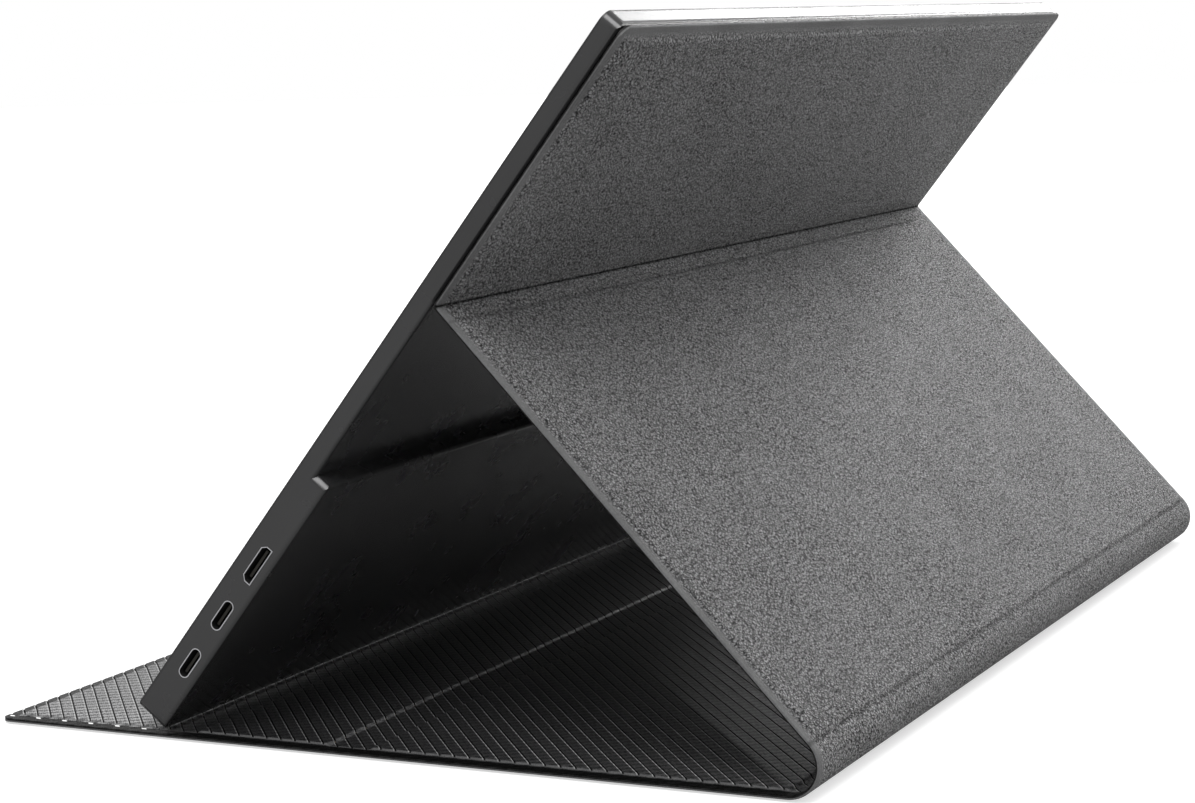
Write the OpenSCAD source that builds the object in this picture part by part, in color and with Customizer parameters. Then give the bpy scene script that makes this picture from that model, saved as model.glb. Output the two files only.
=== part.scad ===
// Portable monitor standing on its folded cover.
// X runs across the screen (the ports are on the +X side), Y runs from the front
// of the cover to its spine, Z is up. The origin is under the middle of the part,
// on the surface that it stands on.
//
// The monitor's own pieces are drawn lying down: X across, Y up the screen from the
// foot, Z towards the viewer, with Z = 0 on the slim part's rear face.
// Each cover panel is drawn lying down too: Y along the panel, Z = 0 on its leather
// face and Z = cover_t on its lining face.

/* [Monitor housing] */
// Width of the monitor across the screen
mon_w = 355; // [300:1:420]
// Height of the monitor along the screen
mon_h = 223; // [200:1:260]
// Thickness of the slim upper part
slim_t = 5.3; // [5.1:0.1:7]
// Thickness of the lower part that holds the electronics
thick_t = 9.7; // [9.7:0.1:12]
// Height of the lower part above the foot
bay_h = 84; // [80:1:100]
// Corner radius of the housing seen from the front
corner_r = 3; // [2.6:0.1:6]
// Corner radius at the top of the lower part
bay_corner_r = 2.5; // [1:0.1:4]
// Radius along the rear edges
edge_r = 1.4; // [0.5:0.1:1.6]
// Thickness of the housing's side walls
wall_t = 1.2; // [1:0.1:1.4]
// Thickness of the housing's rear wall
rear_wall_t = 0.9; // [0.8:0.1:1.2]

/* [Front frame and screen] */
// Height of the frame's lip in front of the housing
lip_t = 0.5; // [0.4:0.1:0.8]
// Width of the frame's lip
lip_w = 2.3; // [2.2:0.1:3]
// Depth of the skirt behind the lip
skirt_h = 2.4; // [1.5:0.1:2.6]
// Gap round each piece inside the frame
fit_gap = 0.1; // [0.05:0.05:0.2]
// Thickness of the cover glass
glass_t = 1.0; // [0.8:0.1:1.2]
// Thickness of the LCD cell
lcd_t = 1.3; // [1:0.1:1.4]
// Thickness of the light guide with its films
guide_t = 1.1; // [0.8:0.1:1.2]
// Sheet thickness of the screen module's tray
tray_t = 0.3; // [0.2:0.1:0.4]
// Height of the screen module's lower edge above the foot
module_low_y = 17.4; // [15:0.1:25]

/* [Ribs and keeper plates] */
// Spacing of the ribs on the slim part's rear wall
rib_pitch = 39; // [30:1:45]
// Width of a rib
rib_w = 1.0; // [0.8:0.1:1.6]
// Number of rib bays on each side of the middle
rib_bays = 4; // [3:1:4]
// Length of a keeper plate and of the magnet that holds on to it
magnet_l = 28; // [20:1:28]
// Width of a keeper plate and of its magnet
magnet_w = 12; // [8:1:16]
// Distance of the magnets' centre line from the monitor's top edge
magnet_drop = 37; // [25:1:50]

/* [Ports on the right side] */
// Height of the lower USB-C socket above the foot
usb_low_y = 20.4; // [18:0.1:24]
// Spacing of the two USB-C sockets
usb_pitch = 16.6; // [14:0.1:20]
// Height of the mini HDMI socket above the foot
hdmi_y = 54.5; // [52:0.1:60]
// Depth of the sockets' centre line behind the front face
port_depth = 5.5; // [5.4:0.1:5.8]
// Outer width of a USB-C shell
usb_w = 9.3; // [9:0.1:9.6]
// Outer height of a USB-C shell
usb_h = 3.3; // [3.3:0.1:3.6]
// Outer width of the mini HDMI shell
hdmi_w = 11.7; // [11.2:0.1:12]
// Outer height of the mini HDMI shell
hdmi_h = 3.2; // [3.2:0.1:3.5]
// Wall of a socket's metal shell
shell_t = 0.3; // [0.3:0.05:0.5]
// Length of a socket's shell
shell_l = 8; // [7:0.5:9]

/* [Controls on the left side] */
// Height of the power button above the foot
power_y = 24; // [20:0.5:28]
// Length of the power button
power_l = 9; // [7:0.5:11]
// Height of the menu rocker above the foot
rocker_y = 43; // [41:0.5:46]
// Length of the menu rocker
rocker_l = 15; // [15:0.5:17]
// Height of a button's face
button_h = 2.4; // [2:0.1:2.6]
// How far the buttons stand out of the side
button_proud = 0.5; // [0.3:0.1:0.8]
// Gap between a button and its slot
button_gap = 0.25; // [0.2:0.05:0.4]
// Depth of the buttons' centre line behind the front face
button_depth = 5.9; // [5.8:0.1:6.1]
// How far the power button travels
power_travel = 0.4; // [0.3:0.05:0.5]
// Gap at a fully pressed button
press_gap = 0.1; // [0.05:0.05:0.15]
// Radius of the rocker's pin
pin_r = 0.5; // [0.4:0.05:0.6]
// Running clearance between the rocker and its pin
pin_gap = 0.05; // [0.03:0.01:0.1]
// Height of the headphone socket above the foot
jack_y = 66; // [64:0.5:70]
// Bore radius of the headphone socket
jack_r = 1.8; // [1.76:0.01:1.85]
// Length of the headphone socket's bore
jack_l = 11.5; // [11:0.5:14]
// Depth of the headphone socket's axis behind the front face
jack_depth = 6.3; // [6.2:0.1:6.4]

/* [Boards and speakers] */
// Thickness of the circuit boards
board_pcb_t = 1.0; // [0.8:0.1:1.2]
// Length of the main board across the screen
main_l = 114; // [100:1:130]
// Length of the button board across the screen
side_l = 35; // [30:1:45]
// Lower edge of the boards above the foot
pcb_y = 14; // [13:0.5:15]
// Upper edge of the main board above the foot
main_top_y = 68; // [66:1:74]
// Upper edge of the button board above the foot
side_top_y = 76; // [74:1:78]
// Radius of a board screw's shank
screw_r = 0.75; // [0.6:0.05:0.8]
// Radius of a board screw's head
screw_head_r = 1.7; // [1.5:0.1:2]
// Length of a speaker
speaker_l = 40; // [30:1:50]
// Height of a speaker, from the foot wall up
speaker_h = 9; // [7:0.5:10]
// Distance of each speaker's outer end from the monitor's side
speaker_inset = 45.5; // [45:0.5:60]
// Number of sound slots under each speaker
slot_count = 6; // [3:1:7]
// Spacing of the sound slots
slot_pitch = 6; // [5:0.5:7]

/* [Cover] */
// How far the cover stands out beyond each side of the monitor
cover_side = 1; // [0.5:0.1:3]
// Thickness of the leather and of the lining
skin_t = 0.5; // [0.4:0.05:0.7]
// Thickness of the boards inside the cover
stiff_t = 1.2; // [1:0.1:1.6]
// Width of the bonded rim round the boards
rim_w = 3.5; // [2:0.1:5]
// Corner radius of the cover's free corners
cover_corner_r = 4; // [2:0.1:6]
// Length of the front flap
flap_len = 51.5; // [40:0.1:60]
// Width of the crease behind the flap
front_crease_w = 7.5; // [6:0.1:10]
// Width of the crease behind the middle panel
rear_crease_w = 10.9; // [7:0.1:12]
// Length of the rear panel
rear_len = 113.5; // [105:0.1:125]
// Outer radius of the rolled spine
spine_r = 8.3; // [7:0.1:10]

/* [Stand] */
// Lean of the screen from the horizontal
tilt = 51.9; // [48:0.05:56]
// Height of the cover's fold above the foot, along the screen
fold_y = 140.5; // [130:0.5:150]
// Length of the strut panel from the spine to the fold
strut_len = 136.4; // [130:0.1:150]
// Distance from the fold to the upper panel's board
fold_back_gap = 1.5; // [1.5:0.1:5]
// Distance from the fold to the strut panel's board
fold_strut_gap = 4.5; // [3:0.1:6]
// Radius inside the fold
fold_r = 0.4; // [0.3:0.1:1.5]
// Gap between the monitor's foot and the lining it stands on
rest_gap = 0.3; // [0.2:0.05:0.5]
// How far the monitor's foot stands ahead of the front crease
foot_lead = 0.9; // [0:0.1:3]
// How far the cover stands above the monitor's top edge
cover_over = 0.3; // [0:0.1:2]

/* [Hidden] */
$fn = 24;
eps = 0.01;
seam_gap = 0.01;

// Colours
housing_grey = [0.21, 0.21, 0.215];
frame_black = [0.03, 0.03, 0.035];
leather_grey = [0.30, 0.30, 0.305];
lining_grey = [0.13, 0.13, 0.135];
board_tan = [0.62, 0.56, 0.45];
shell_metal = [0.75, 0.75, 0.77];
pcb_green = [0.05, 0.25, 0.12];

// Monitor levels, measured towards the viewer from the slim part's rear face
bay_z = slim_t - thick_t;
bay_floor_z = bay_z + rear_wall_t;
rim_z = slim_t - lip_t;
glass_z = slim_t - glass_t;
lcd_z = glass_z - lcd_t;
guide_z = lcd_z - guide_t;
tray_z = guide_z - tray_t;
rib_h = tray_z - rear_wall_t;
side_x = mon_w / 2;
inner_x = side_x - wall_t;
speaker_x = side_x - speaker_inset - speaker_l / 2;
module_inset = lip_w + 3 * fit_gap;
module_w = mon_w - 2 * module_inset;
module_h = mon_h - module_inset - module_low_y;
magnet_y = mon_h - magnet_drop;

// Ports, boards and controls
port_z = slim_t - port_depth;
pcb_top_z = port_z - usb_h / 2;
pcb_z = pcb_top_z - board_pcb_t;
boss_h = pcb_z - bay_floor_z;
boss_r = 2;
button_z = slim_t - button_depth;
jack_z = slim_t - jack_depth;
jack_body_r = 2.4;
jack_block_w = 5.6;
main_x1 = inner_x - 2;
main_x0 = main_x1 - main_l;
side_pcb_x0 = -inner_x + 2;
side_pcb_x1 = side_pcb_x0 + side_l;
pcb_hole_r = screw_r + 0.15;
screw_inset = 5;
screw_bite = 0.9;
main_screw_xs = [main_x0 + screw_inset, main_x1 - 10];
main_screw_ys = [pcb_y + screw_inset, main_top_y - screw_inset];
main_screws = [for (x = main_screw_xs, y = main_screw_ys) [x, y]];
side_screws = [for (y = [pcb_y + screw_inset, side_top_y - screw_inset]) [side_pcb_x1 - screw_inset, y]];
flange_t = 0.6;
flange_gap = 0.2;
button_inner_x = -inner_x + flange_gap + flange_t;
stem_l = 0.7;
stem_r = 0.8;
power_tip_x = button_inner_x + stem_l;
switch_x = power_tip_x + power_travel + press_gap;
switch_w = 2.5;
switch_l = 4;
switch_h = 2.7;
rocker_t = 1.5;
rocker_angle = 2.5;
rocker_reach = 5.5;
rocker_tip_x = switch_x - rocker_reach * sin(rocker_angle) - press_gap;
rocker_back_x = -side_x - button_proud + rocker_t;
rocker_pin_x = -inner_x + 1.3;
hub_r = 1.1;
hub_h = 2;
pin_boss_r = 1.6;
speaker_y = wall_t + 0.2;
ear_r = 2;
ear_t = 1;
ear_x = speaker_l / 2 + 1.6;
ear_y = speaker_h - ear_r;
ear_post_r = 0.8;
ear_post_h = 0.8;
ribbon_x = main_x0 + 42;
ribbon_w = 44;
ribbon_t = 0.2;

// Cover levels and lengths
cover_w = mon_w + 2 * cover_side;
cover_t = 2 * skin_t + stiff_t;
rim_level = cover_t / 2 - skin_t;
board_inset = rim_w + rim_level;
roll_r = spine_r + rim_level;
back_len = mon_h + cover_over - fold_y;

// The stand's triangle: the screen leans on the strut, and the strut on the spine
foot_z = cover_t + rest_gap - edge_r * (sin(tilt) + cos(tilt) - 1);
back_off = slim_t - thick_t + cover_t;
fold_z = foot_z + fold_y * sin(tilt) - back_off * cos(tilt);
spine_z = roll_r;
strut_span = norm([strut_len, roll_r]);
strut_angle = asin((fold_z - spine_z) / strut_span) - atan(roll_r / strut_len);
strut_reach = strut_len * cos(strut_angle) - roll_r * sin(strut_angle);
foot_reach = strut_reach + fold_y * cos(tilt) + back_off * sin(tilt);

// The base: its middle panel fills what the other panels leave between foot and spine
mid_len = foot_reach - foot_lead - front_crease_w - rear_crease_w - rear_len;
base_len = flap_len + front_crease_w + mid_len + rear_crease_w + rear_len;
front_y = -(base_len + roll_r - rim_level) / 2;
front_crease_y = front_y + flap_len;
mid_y = front_crease_y + front_crease_w;
rear_crease_y = mid_y + mid_len;
rear_y = rear_crease_y + rear_crease_w;
spine_y = rear_y + rear_len;
fold_world_y = spine_y - strut_reach;
foot_y = spine_y - foot_reach;
strut_y = spine_y + roll_r * sin(strut_angle);
strut_z = spine_z + roll_r * cos(strut_angle);

// The fold: how sharply the cover turns there, and the centre of its round
fold_turn = 180 - tilt - strut_angle;
fold_bisector = [-(sin(tilt) + sin(strut_angle)), cos(tilt) - cos(strut_angle)];
fold_unit = fold_bisector / norm(fold_bisector);
fold_centre = [fold_world_y, fold_z] + fold_unit * (rim_level - fold_r) / cos(fold_turn / 2);
fold_axis = [fold_world_y, fold_z] + fold_unit * (rim_level + skin_t) / cos(fold_turn / 2);

// The spine turns about two creases, each by half of the whole turn
half_turn = (180 - strut_angle) / 2;
roll_mid_r = spine_r - skin_t;
half_turn_rad = half_turn * PI / 180;
crease_rise = (1 - cos(half_turn) - (half_turn_rad - sin(half_turn)) / tan(half_turn / 2)) / 2;
spine_axis = [spine_y + roll_mid_r * half_turn_rad / 2, spine_z - roll_mid_r + roll_mid_r * crease_rise];
spine_axis_off = spine_axis - [spine_y, spine_z];
spine_axis_turn = 2 * (half_turn - 90) - atan2(spine_axis_off[1], spine_axis_off[0]);
strut_axis = [spine_y, spine_z] + norm(spine_axis_off) * [cos(spine_axis_turn), sin(spine_axis_turn)];

// ---- shared shapes ----

// Rectangle with two low and two high corner radii, centred across X, from Y = 0
module outline(w, h, r_low, r_high) {
    translate([-w / 2 + r_low, 0]) square([w - 2 * r_low, h / 2]);
    translate([-w / 2, r_low]) square([w, h / 2 - r_low]);
    translate([-w / 2 + r_high, h / 2]) square([w - 2 * r_high, h / 2]);
    translate([-w / 2, h / 2]) square([w, h / 2 - r_high]);
    for (s = [-1, 1]) {
        translate([s * (w / 2 - r_low), r_low]) circle(r_low);
        translate([s * (w / 2 - r_high), h - r_high]) circle(r_high);
    }
}

// Rectangle centred across X, from Y = 0, with its two low corners rounded
module round_base(w, h, r) {
    translate([-w / 2, r]) square([w, h - r]);
    translate([-w / 2 + r, 0]) square([w - 2 * r, r]);
    for (s = [-1, 1]) translate([s * (w / 2 - r), r]) circle(r);
}

// Slot with round ends, centred, its length along X
module stadium(l, h) {
    square([l - h, h], center = true);
    for (s = [-1, 1]) translate([s * (l - h) / 2, 0]) circle(h / 2);
}

// Outline of the mini HDMI shell, its long side towards the rear
module hdmi_outline(w, h) {
    cut = h * 0.4;
    polygon([
        [-w / 2, -h / 2], [w / 2, -h / 2], [w / 2, h / 2 - cut],
        [w / 2 - cut, h / 2], [-w / 2 + cut, h / 2], [-w / 2, h / 2 - cut]
    ]);
}

// Extrudes a profile drawn in Y and Z along X, centred
module along_x(l) {
    rotate([90, 0, 90]) linear_extrude(l, center = true) children();
}

// Extrudes a profile drawn in Y and Z from X = x0 towards +X
module from_x(x0, l) {
    translate([x0, 0, 0]) rotate([90, 0, 90]) linear_extrude(l) children();
}

// Ring sector of inner radius r0 and outer radius r1, from angle a0 to a1 (under 180 apart)
module sector(r0, r1, a0, a1) {
    reach = 3 * r1;
    mid = (a0 + a1) / 2;
    intersection() {
        difference() {
            circle(r1);
            circle(r0);
        }
        polygon([
            [0, 0], reach * [cos(a0), sin(a0)],
            reach * [cos(mid), sin(mid)], reach * [cos(a1), sin(a1)]
        ]);
    }
}

// Puts a lying monitor piece where the leaning monitor has it
module on_monitor() {
    lift = -bay_z;
    translate([0, foot_y, foot_z]) rotate([tilt, 0, 0]) translate([0, 0, lift]) children();
}

// ---- housing ----

// Outer form of one part of the housing: its outline, with the rear edges rounded
module housing_block(h, z0, r_high) {
    t = rim_z - z0;
    intersection() {
        translate([0, 0, z0]) linear_extrude(t) outline(mon_w, h, corner_r, r_high);
        translate([0, h, z0]) rotate([90, 0, 0]) linear_extrude(h) round_base(mon_w, t, edge_r);
        translate([0, h / 2, z0]) along_x(mon_w) round_base(h, t, edge_r);
    }
}

// The room inside the slim part and the bay
module housing_room() {
    r_in = corner_r - wall_t;
    translate([0, wall_t, rear_wall_t])
        linear_extrude(slim_t) outline(mon_w - 2 * wall_t, mon_h - 2 * wall_t, r_in, r_in);
    translate([0, wall_t, bay_floor_z])
        linear_extrude(-bay_floor_z + rear_wall_t + eps)
            outline(mon_w - 2 * wall_t, bay_h - 2 * wall_t, r_in, 1);
}

// Every opening in the side and foot walls
module housing_openings() {
    from_x(inner_x - eps, wall_t + 1) {
        for (y = [usb_low_y, usb_low_y + usb_pitch])
            translate([y, port_z]) stadium(usb_w + fit_gap, usb_h + fit_gap);
        translate([hdmi_y, port_z]) hdmi_outline(hdmi_w + fit_gap, hdmi_h + fit_gap);
    }
    from_x(-side_x - 1, wall_t + 1 + eps) {
        translate([power_y, button_z]) stadium(power_l + 2 * button_gap, button_h + 2 * button_gap);
        translate([rocker_y, button_z]) stadium(rocker_l + 2 * button_gap, button_h + 2 * button_gap);
        translate([jack_y, jack_z]) circle(jack_body_r + fit_gap);
    }
    slot_z = bay_floor_z + 1.6;
    for (s = [-1, 1], k = [0 : slot_count - 1])
        translate([s * speaker_x + (k - (slot_count - 1) / 2) * slot_pitch, wall_t + eps, slot_z])
            rotate([90, 0, 0]) linear_extrude(wall_t + 1) stadium(3.6, 1);
}

// Ribs that carry the screen's tray, with the cells between them left for the keeper plates
module housing_ribs() {
    rib_y0 = bay_h + 2;
    rib_y1 = mon_h - wall_t - 1;
    for (k = [-rib_bays : rib_bays])
        translate([k * rib_pitch - rib_w / 2, rib_y0, rear_wall_t - eps])
            cube([rib_w, rib_y1 - rib_y0, rib_h + eps]);
    for (y = [rib_y0, (rib_y0 + magnet_y) / 2])
        translate([-rib_bays * rib_pitch, y, rear_wall_t - eps])
            cube([2 * rib_bays * rib_pitch, rib_w, rib_h + eps]);
    bay_rib_l = main_x0 - side_pcb_x1 - 8;
    bay_rib_h = 2.2;
    for (y = [20 : 13 : bay_h - 12])
        translate([side_pcb_x1 + 4, y, bay_floor_z - eps]) cube([bay_rib_l, rib_w, bay_rib_h]);
}

// Screw bosses under the boards, the post under the rocker's pin and the speakers' posts
module housing_bosses() {
    for (p = concat(main_screws, side_screws))
        translate([p[0], p[1], bay_floor_z - eps]) cylinder(h = boss_h + eps, r = boss_r);
    translate([rocker_pin_x, rocker_y, bay_floor_z - eps])
        cylinder(h = button_z - hub_h / 2 - 0.15 - bay_floor_z + eps, r = pin_boss_r);
    for (s = [-1, 1], e = [-1, 1])
        translate([s * speaker_x + e * ear_x, speaker_y + ear_y, bay_floor_z - eps])
            cylinder(h = ear_t + ear_post_h + eps, r = ear_post_r);
}

module rear_housing() {
    color(housing_grey) on_monitor() difference() {
        union() {
            difference() {
                union() {
                    housing_block(mon_h, 0, corner_r);
                    housing_block(bay_h, bay_z, bay_corner_r);
                }
                housing_room();
            }
            housing_ribs();
            housing_bosses();
        }
        housing_openings();
        for (p = concat(main_screws, side_screws))
            translate([p[0], p[1], pcb_z - screw_bite - 0.1])
                cylinder(h = screw_bite + 1, r = screw_r + 0.02);
        translate([rocker_pin_x, rocker_y, bay_floor_z + 0.2]) cylinder(h = 6, r = pin_r);
    }
}

// ---- screen ----

// Flat ring that follows the housing's outline between two insets
module frame_ring(inset0, inset1) {
    difference() {
        translate([0, inset0])
            outline(mon_w - 2 * inset0, mon_h - 2 * inset0, corner_r - inset0, corner_r - inset0);
        translate([0, inset1])
            outline(mon_w - 2 * inset1, mon_h - 2 * inset1, corner_r - inset1, corner_r - inset1);
    }
}

module front_frame() {
    color(frame_black) on_monitor() {
        translate([0, 0, rim_z]) linear_extrude(lip_t) frame_ring(0, lip_w);
        translate([0, 0, rim_z - skirt_h])
            linear_extrude(skirt_h + eps) frame_ring(wall_t + fit_gap, lip_w);
    }
}

module front_glass() {
    inset = lip_w + fit_gap;
    r = corner_r - inset;
    color([0.02, 0.02, 0.025]) on_monitor() translate([0, inset, glass_z])
        linear_extrude(glass_t) outline(mon_w - 2 * inset, mon_h - 2 * inset, r, r);
}

// A sheet of the screen module, inset all round by the given amount
module module_sheet(inset, z, t) {
    translate([-module_w / 2 + inset, module_low_y + inset, z])
        cube([module_w - 2 * inset, module_h - 2 * inset, t]);
}

module lcd_panel() {
    color([0.08, 0.09, 0.12]) on_monitor() module_sheet(0, lcd_z, lcd_t);
}

module light_guide() {
    color([0.85, 0.88, 0.9]) on_monitor() module_sheet(tray_t + fit_gap, guide_z, guide_t);
}

module panel_tray() {
    color(shell_metal) on_monitor() difference() {
        module_sheet(0, tray_z, tray_t + guide_t);
        module_sheet(tray_t, guide_z, guide_t + 1);
    }
}

// The four cells between ribs that hold keeper plates, and the magnets behind them
magnet_xs = [for (k = [-rib_bays, -2, 1, rib_bays - 1]) (k + 0.5) * rib_pitch];

module keeper_plates() {
    color(shell_metal) on_monitor() for (x = magnet_xs)
        translate([x - magnet_l / 2, magnet_y - magnet_w / 2, rear_wall_t])
            cube([magnet_l, magnet_w, rib_h]);
}

// ---- electronics ----

// Circuit board from x0 to x1 and y0 to y1, drilled for its screws
module pcb(x0, x1, y0, y1, screws) {
    difference() {
        translate([x0, y0, pcb_z]) cube([x1 - x0, y1 - y0, board_pcb_t]);
        for (p = screws) translate([p[0], p[1], pcb_z - 1]) cylinder(h = board_pcb_t + 2, r = pcb_hole_r);
    }
}

module main_board() {
    color(pcb_green) on_monitor() pcb(main_x0, main_x1, pcb_y, main_top_y, main_screws);
}

module button_board() {
    jack_notch = jack_block_w + 1.4;
    color(pcb_green) on_monitor() difference() {
        pcb(side_pcb_x0, side_pcb_x1, pcb_y - 2, side_top_y, side_screws);
        translate([side_pcb_x0 - 1, jack_y - jack_notch / 2, pcb_z - 1])
            cube([jack_l + 1, jack_notch, 4]);
        translate([side_pcb_x0 - 1, rocker_y - pin_boss_r - 0.4, pcb_z - 1])
            cube([rocker_pin_x + pin_boss_r + 0.4 - side_pcb_x0 + 1, 2 * pin_boss_r + 0.8, 4]);
    }
}

module shield_can() {
    can_l = 44;
    can_w = 28;
    can_h = 1.8;
    can_wall = 0.3;
    color(shell_metal) on_monitor() translate([main_x0 + 38, 33, pcb_top_z]) difference() {
        cube([can_l, can_w, can_h]);
        translate([can_wall, can_wall, -1])
            cube([can_l - 2 * can_wall, can_w - 2 * can_wall, can_h - can_wall + 1]);
    }
}

module board_screws() {
    head_h = 0.8;
    color(shell_metal) on_monitor() for (p = concat(main_screws, side_screws))
        translate([p[0], p[1], 0]) {
            translate([0, 0, pcb_top_z]) cylinder(h = head_h, r = screw_head_r);
            translate([0, 0, pcb_z - screw_bite])
                cylinder(h = board_pcb_t + screw_bite + eps, r = screw_r);
        }
}

// Flat flex cable from the screen module's edge round to the main board
module display_ribbon() {
    top_z = lcd_z + 0.5;
    low_z = pcb_top_z;
    bend_r = (top_z - low_z) / 2;
    bend_y = module_low_y - 0.9;
    land_l = 9.5;
    color([0.55, 0.35, 0.1]) on_monitor() from_x(ribbon_x - ribbon_w / 2, ribbon_w) {
        translate([bend_y, low_z]) square([land_l, ribbon_t]);
        translate([bend_y, top_z - ribbon_t]) square([module_low_y - bend_y, ribbon_t]);
        translate([bend_y, low_z + bend_r]) difference() {
            circle(bend_r);
            circle(bend_r - ribbon_t);
            translate([0, -2 * bend_r]) square([4 * bend_r, 4 * bend_r]);
        }
    }
}

// Metal shell, closed at its inner end, with the contact tongue inside
module socket(y, tongue_w) {
    mouth = shell_l - 1;
    tongue_t = 0.7;
    on_monitor() {
        difference() {
            from_x(side_x - shell_l, shell_l) translate([y, port_z]) children(0);
            from_x(side_x - mouth, mouth + 1) translate([y, port_z]) children(1);
        }
        from_x(side_x - mouth - eps, mouth - 1.2)
            translate([y, port_z]) square([tongue_w, tongue_t], center = true);
    }
}

module usb_c_socket(y) {
    color(shell_metal) socket(y, usb_w - 2.6) {
        stadium(usb_w, usb_h);
        stadium(usb_w - 2 * shell_t, usb_h - 2 * shell_t);
    }
}

module usb_c_socket_lower() {
    usb_c_socket(usb_low_y);
}

module usb_c_socket_upper() {
    usb_c_socket(usb_low_y + usb_pitch);
}

module mini_hdmi_socket() {
    color(shell_metal) socket(hdmi_y, hdmi_w - 3) {
        hdmi_outline(hdmi_w, hdmi_h);
        hdmi_outline(hdmi_w - 2 * shell_t, hdmi_h - 2 * shell_t);
    }
}

module headphone_socket() {
    block_x = -inner_x + 0.2;
    end_x = -side_x + jack_l;
    color(frame_black) on_monitor() difference() {
        union() {
            from_x(-side_x, wall_t + 0.5) translate([jack_y, jack_z]) circle(jack_body_r);
            from_x(block_x, end_x + 1 - block_x) translate([jack_y, jack_z])
                square([jack_block_w, 2 * jack_body_r], center = true);
        }
        from_x(-side_x - 1, jack_l + 1) translate([jack_y, jack_z]) circle(jack_r);
    }
}

// ---- controls ----

module power_button() {
    color(frame_black) on_monitor() translate([0, power_y, button_z]) {
        from_x(-side_x - button_proud, button_inner_x - flange_t + side_x + button_proud + eps)
            stadium(power_l, button_h);
        from_x(button_inner_x - flange_t, flange_t) stadium(power_l + 2, button_h + 1.4);
        from_x(button_inner_x - eps, stem_l + eps) circle(stem_r);
    }
}

// Small press switch, standing on the button board behind a button
module press_switch(y) {
    on_monitor() translate([switch_x, y - switch_l / 2, pcb_top_z]) cube([switch_w, switch_l, switch_h]);
}

module power_switch() {
    color(shell_metal) press_switch(power_y);
}

module menu_switches() {
    color(shell_metal) for (s = [-1, 1]) press_switch(rocker_y + s * rocker_reach);
}

module menu_rocker() {
    nib_r = 0.8;
    color(frame_black) on_monitor() translate([0, rocker_y, button_z]) {
        from_x(-side_x - button_proud, rocker_t) stadium(rocker_l, button_h);
        for (s = [-1, 1])
            from_x(rocker_back_x - eps, rocker_tip_x - rocker_back_x + eps)
                translate([s * rocker_reach, 0]) circle(nib_r);
        difference() {
            union() {
                from_x(rocker_back_x - eps, rocker_pin_x - rocker_back_x)
                    square([hub_r * 1.6, hub_h], center = true);
                translate([rocker_pin_x, 0, -hub_h / 2]) cylinder(h = hub_h, r = hub_r);
            }
            translate([rocker_pin_x, 0, -hub_h]) cylinder(h = 2 * hub_h, r = pin_r + pin_gap);
        }
    }
}

module rocker_pin() {
    pin_z = bay_floor_z + 0.2;
    color(shell_metal) on_monitor() translate([rocker_pin_x, rocker_y, pin_z])
        cylinder(h = button_z + hub_h / 2 - pin_z, r = pin_r);
}

// ---- speakers ----

module speaker(x) {
    depth = 3.6;
    cone_l = speaker_l - 8;
    on_monitor() translate([x, speaker_y, bay_floor_z]) difference() {
        union() {
            translate([-speaker_l / 2, 0, 0]) cube([speaker_l, speaker_h, depth]);
            translate([-ear_x, ear_y - ear_r, 0]) cube([2 * ear_x, 2 * ear_r, ear_t]);
            for (s = [-1, 1]) translate([s * ear_x, ear_y, 0]) cylinder(h = ear_t, r = ear_r);
        }
        translate([0, 0.4, depth / 2]) rotate([90, 0, 0]) linear_extrude(1) stadium(cone_l, depth - 1.2);
        for (s = [-1, 1])
            translate([s * ear_x, ear_y, -1]) cylinder(h = 3, r = ear_post_r + fit_gap);
    }
}

module speaker_left() {
    color(frame_black) speaker(-speaker_x);
}

module speaker_right() {
    color(frame_black) speaker(speaker_x);
}

// ---- cover panels ----

// Space above a panel's skin: its underside drops from the rim's level to Z = 0 over the
// board. rim0 and rim1 are the rim widths at the two ends, nothing where a fold starts.
module skin_space(len, rim0, rim1, top) {
    intersection() {
        translate([0, len, 0]) rotate([90, 0, 0]) linear_extrude(len) polygon([
            [-cover_w / 2, top], [-cover_w / 2, rim_level],
            [-cover_w / 2 + rim_w, rim_level], [-cover_w / 2 + board_inset, 0],
            [cover_w / 2 - board_inset, 0], [cover_w / 2 - rim_w, rim_level],
            [cover_w / 2, rim_level], [cover_w / 2, top]
        ]);
        along_x(cover_w) polygon([
            [0, top], [0, rim_level], [rim0, rim_level], [rim0 + rim_level, 0],
            [len - rim1 - rim_level, 0], [len - rim1, rim_level], [len, rim_level], [len, top]
        ]);
    }
}

// Panel outline, with round corners where an end has a rim
module panel_outline(len, rim0, rim1) {
    r0 = rim0 > 0 ? cover_corner_r : 0;
    r1 = rim1 > 0 ? cover_corner_r : 0;
    translate([-cover_w / 2, r0]) square([cover_w, len - r0 - r1]);
    if (r0 > 0) {
        translate([-cover_w / 2 + r0, 0]) square([cover_w - 2 * r0, r0]);
        for (s = [-1, 1]) translate([s * (cover_w / 2 - r0), r0]) circle(r0);
    }
    if (r1 > 0) {
        translate([-cover_w / 2 + r1, len - r1]) square([cover_w - 2 * r1, r1]);
        for (s = [-1, 1]) translate([s * (cover_w / 2 - r1), len - r1]) circle(r1);
    }
}

// One skin of a panel, on the leather side
module skin(len, rim0, rim1) {
    intersection() {
        difference() {
            skin_space(len, rim0, rim1, cover_t / 2);
            translate([0, 0, skin_t]) skin_space(len, rim0, rim1, cover_t);
        }
        translate([0, 0, -1]) linear_extrude(cover_t + 2) panel_outline(len, rim0, rim1);
    }
}

module leather(len, rim0, rim1) {
    color(leather_grey) skin(len, rim0, rim1);
}

module lining(len, rim0, rim1) {
    color(lining_grey) translate([0, 0, cover_t]) mirror([0, 0, 1]) skin(len, rim0, rim1);
}

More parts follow.
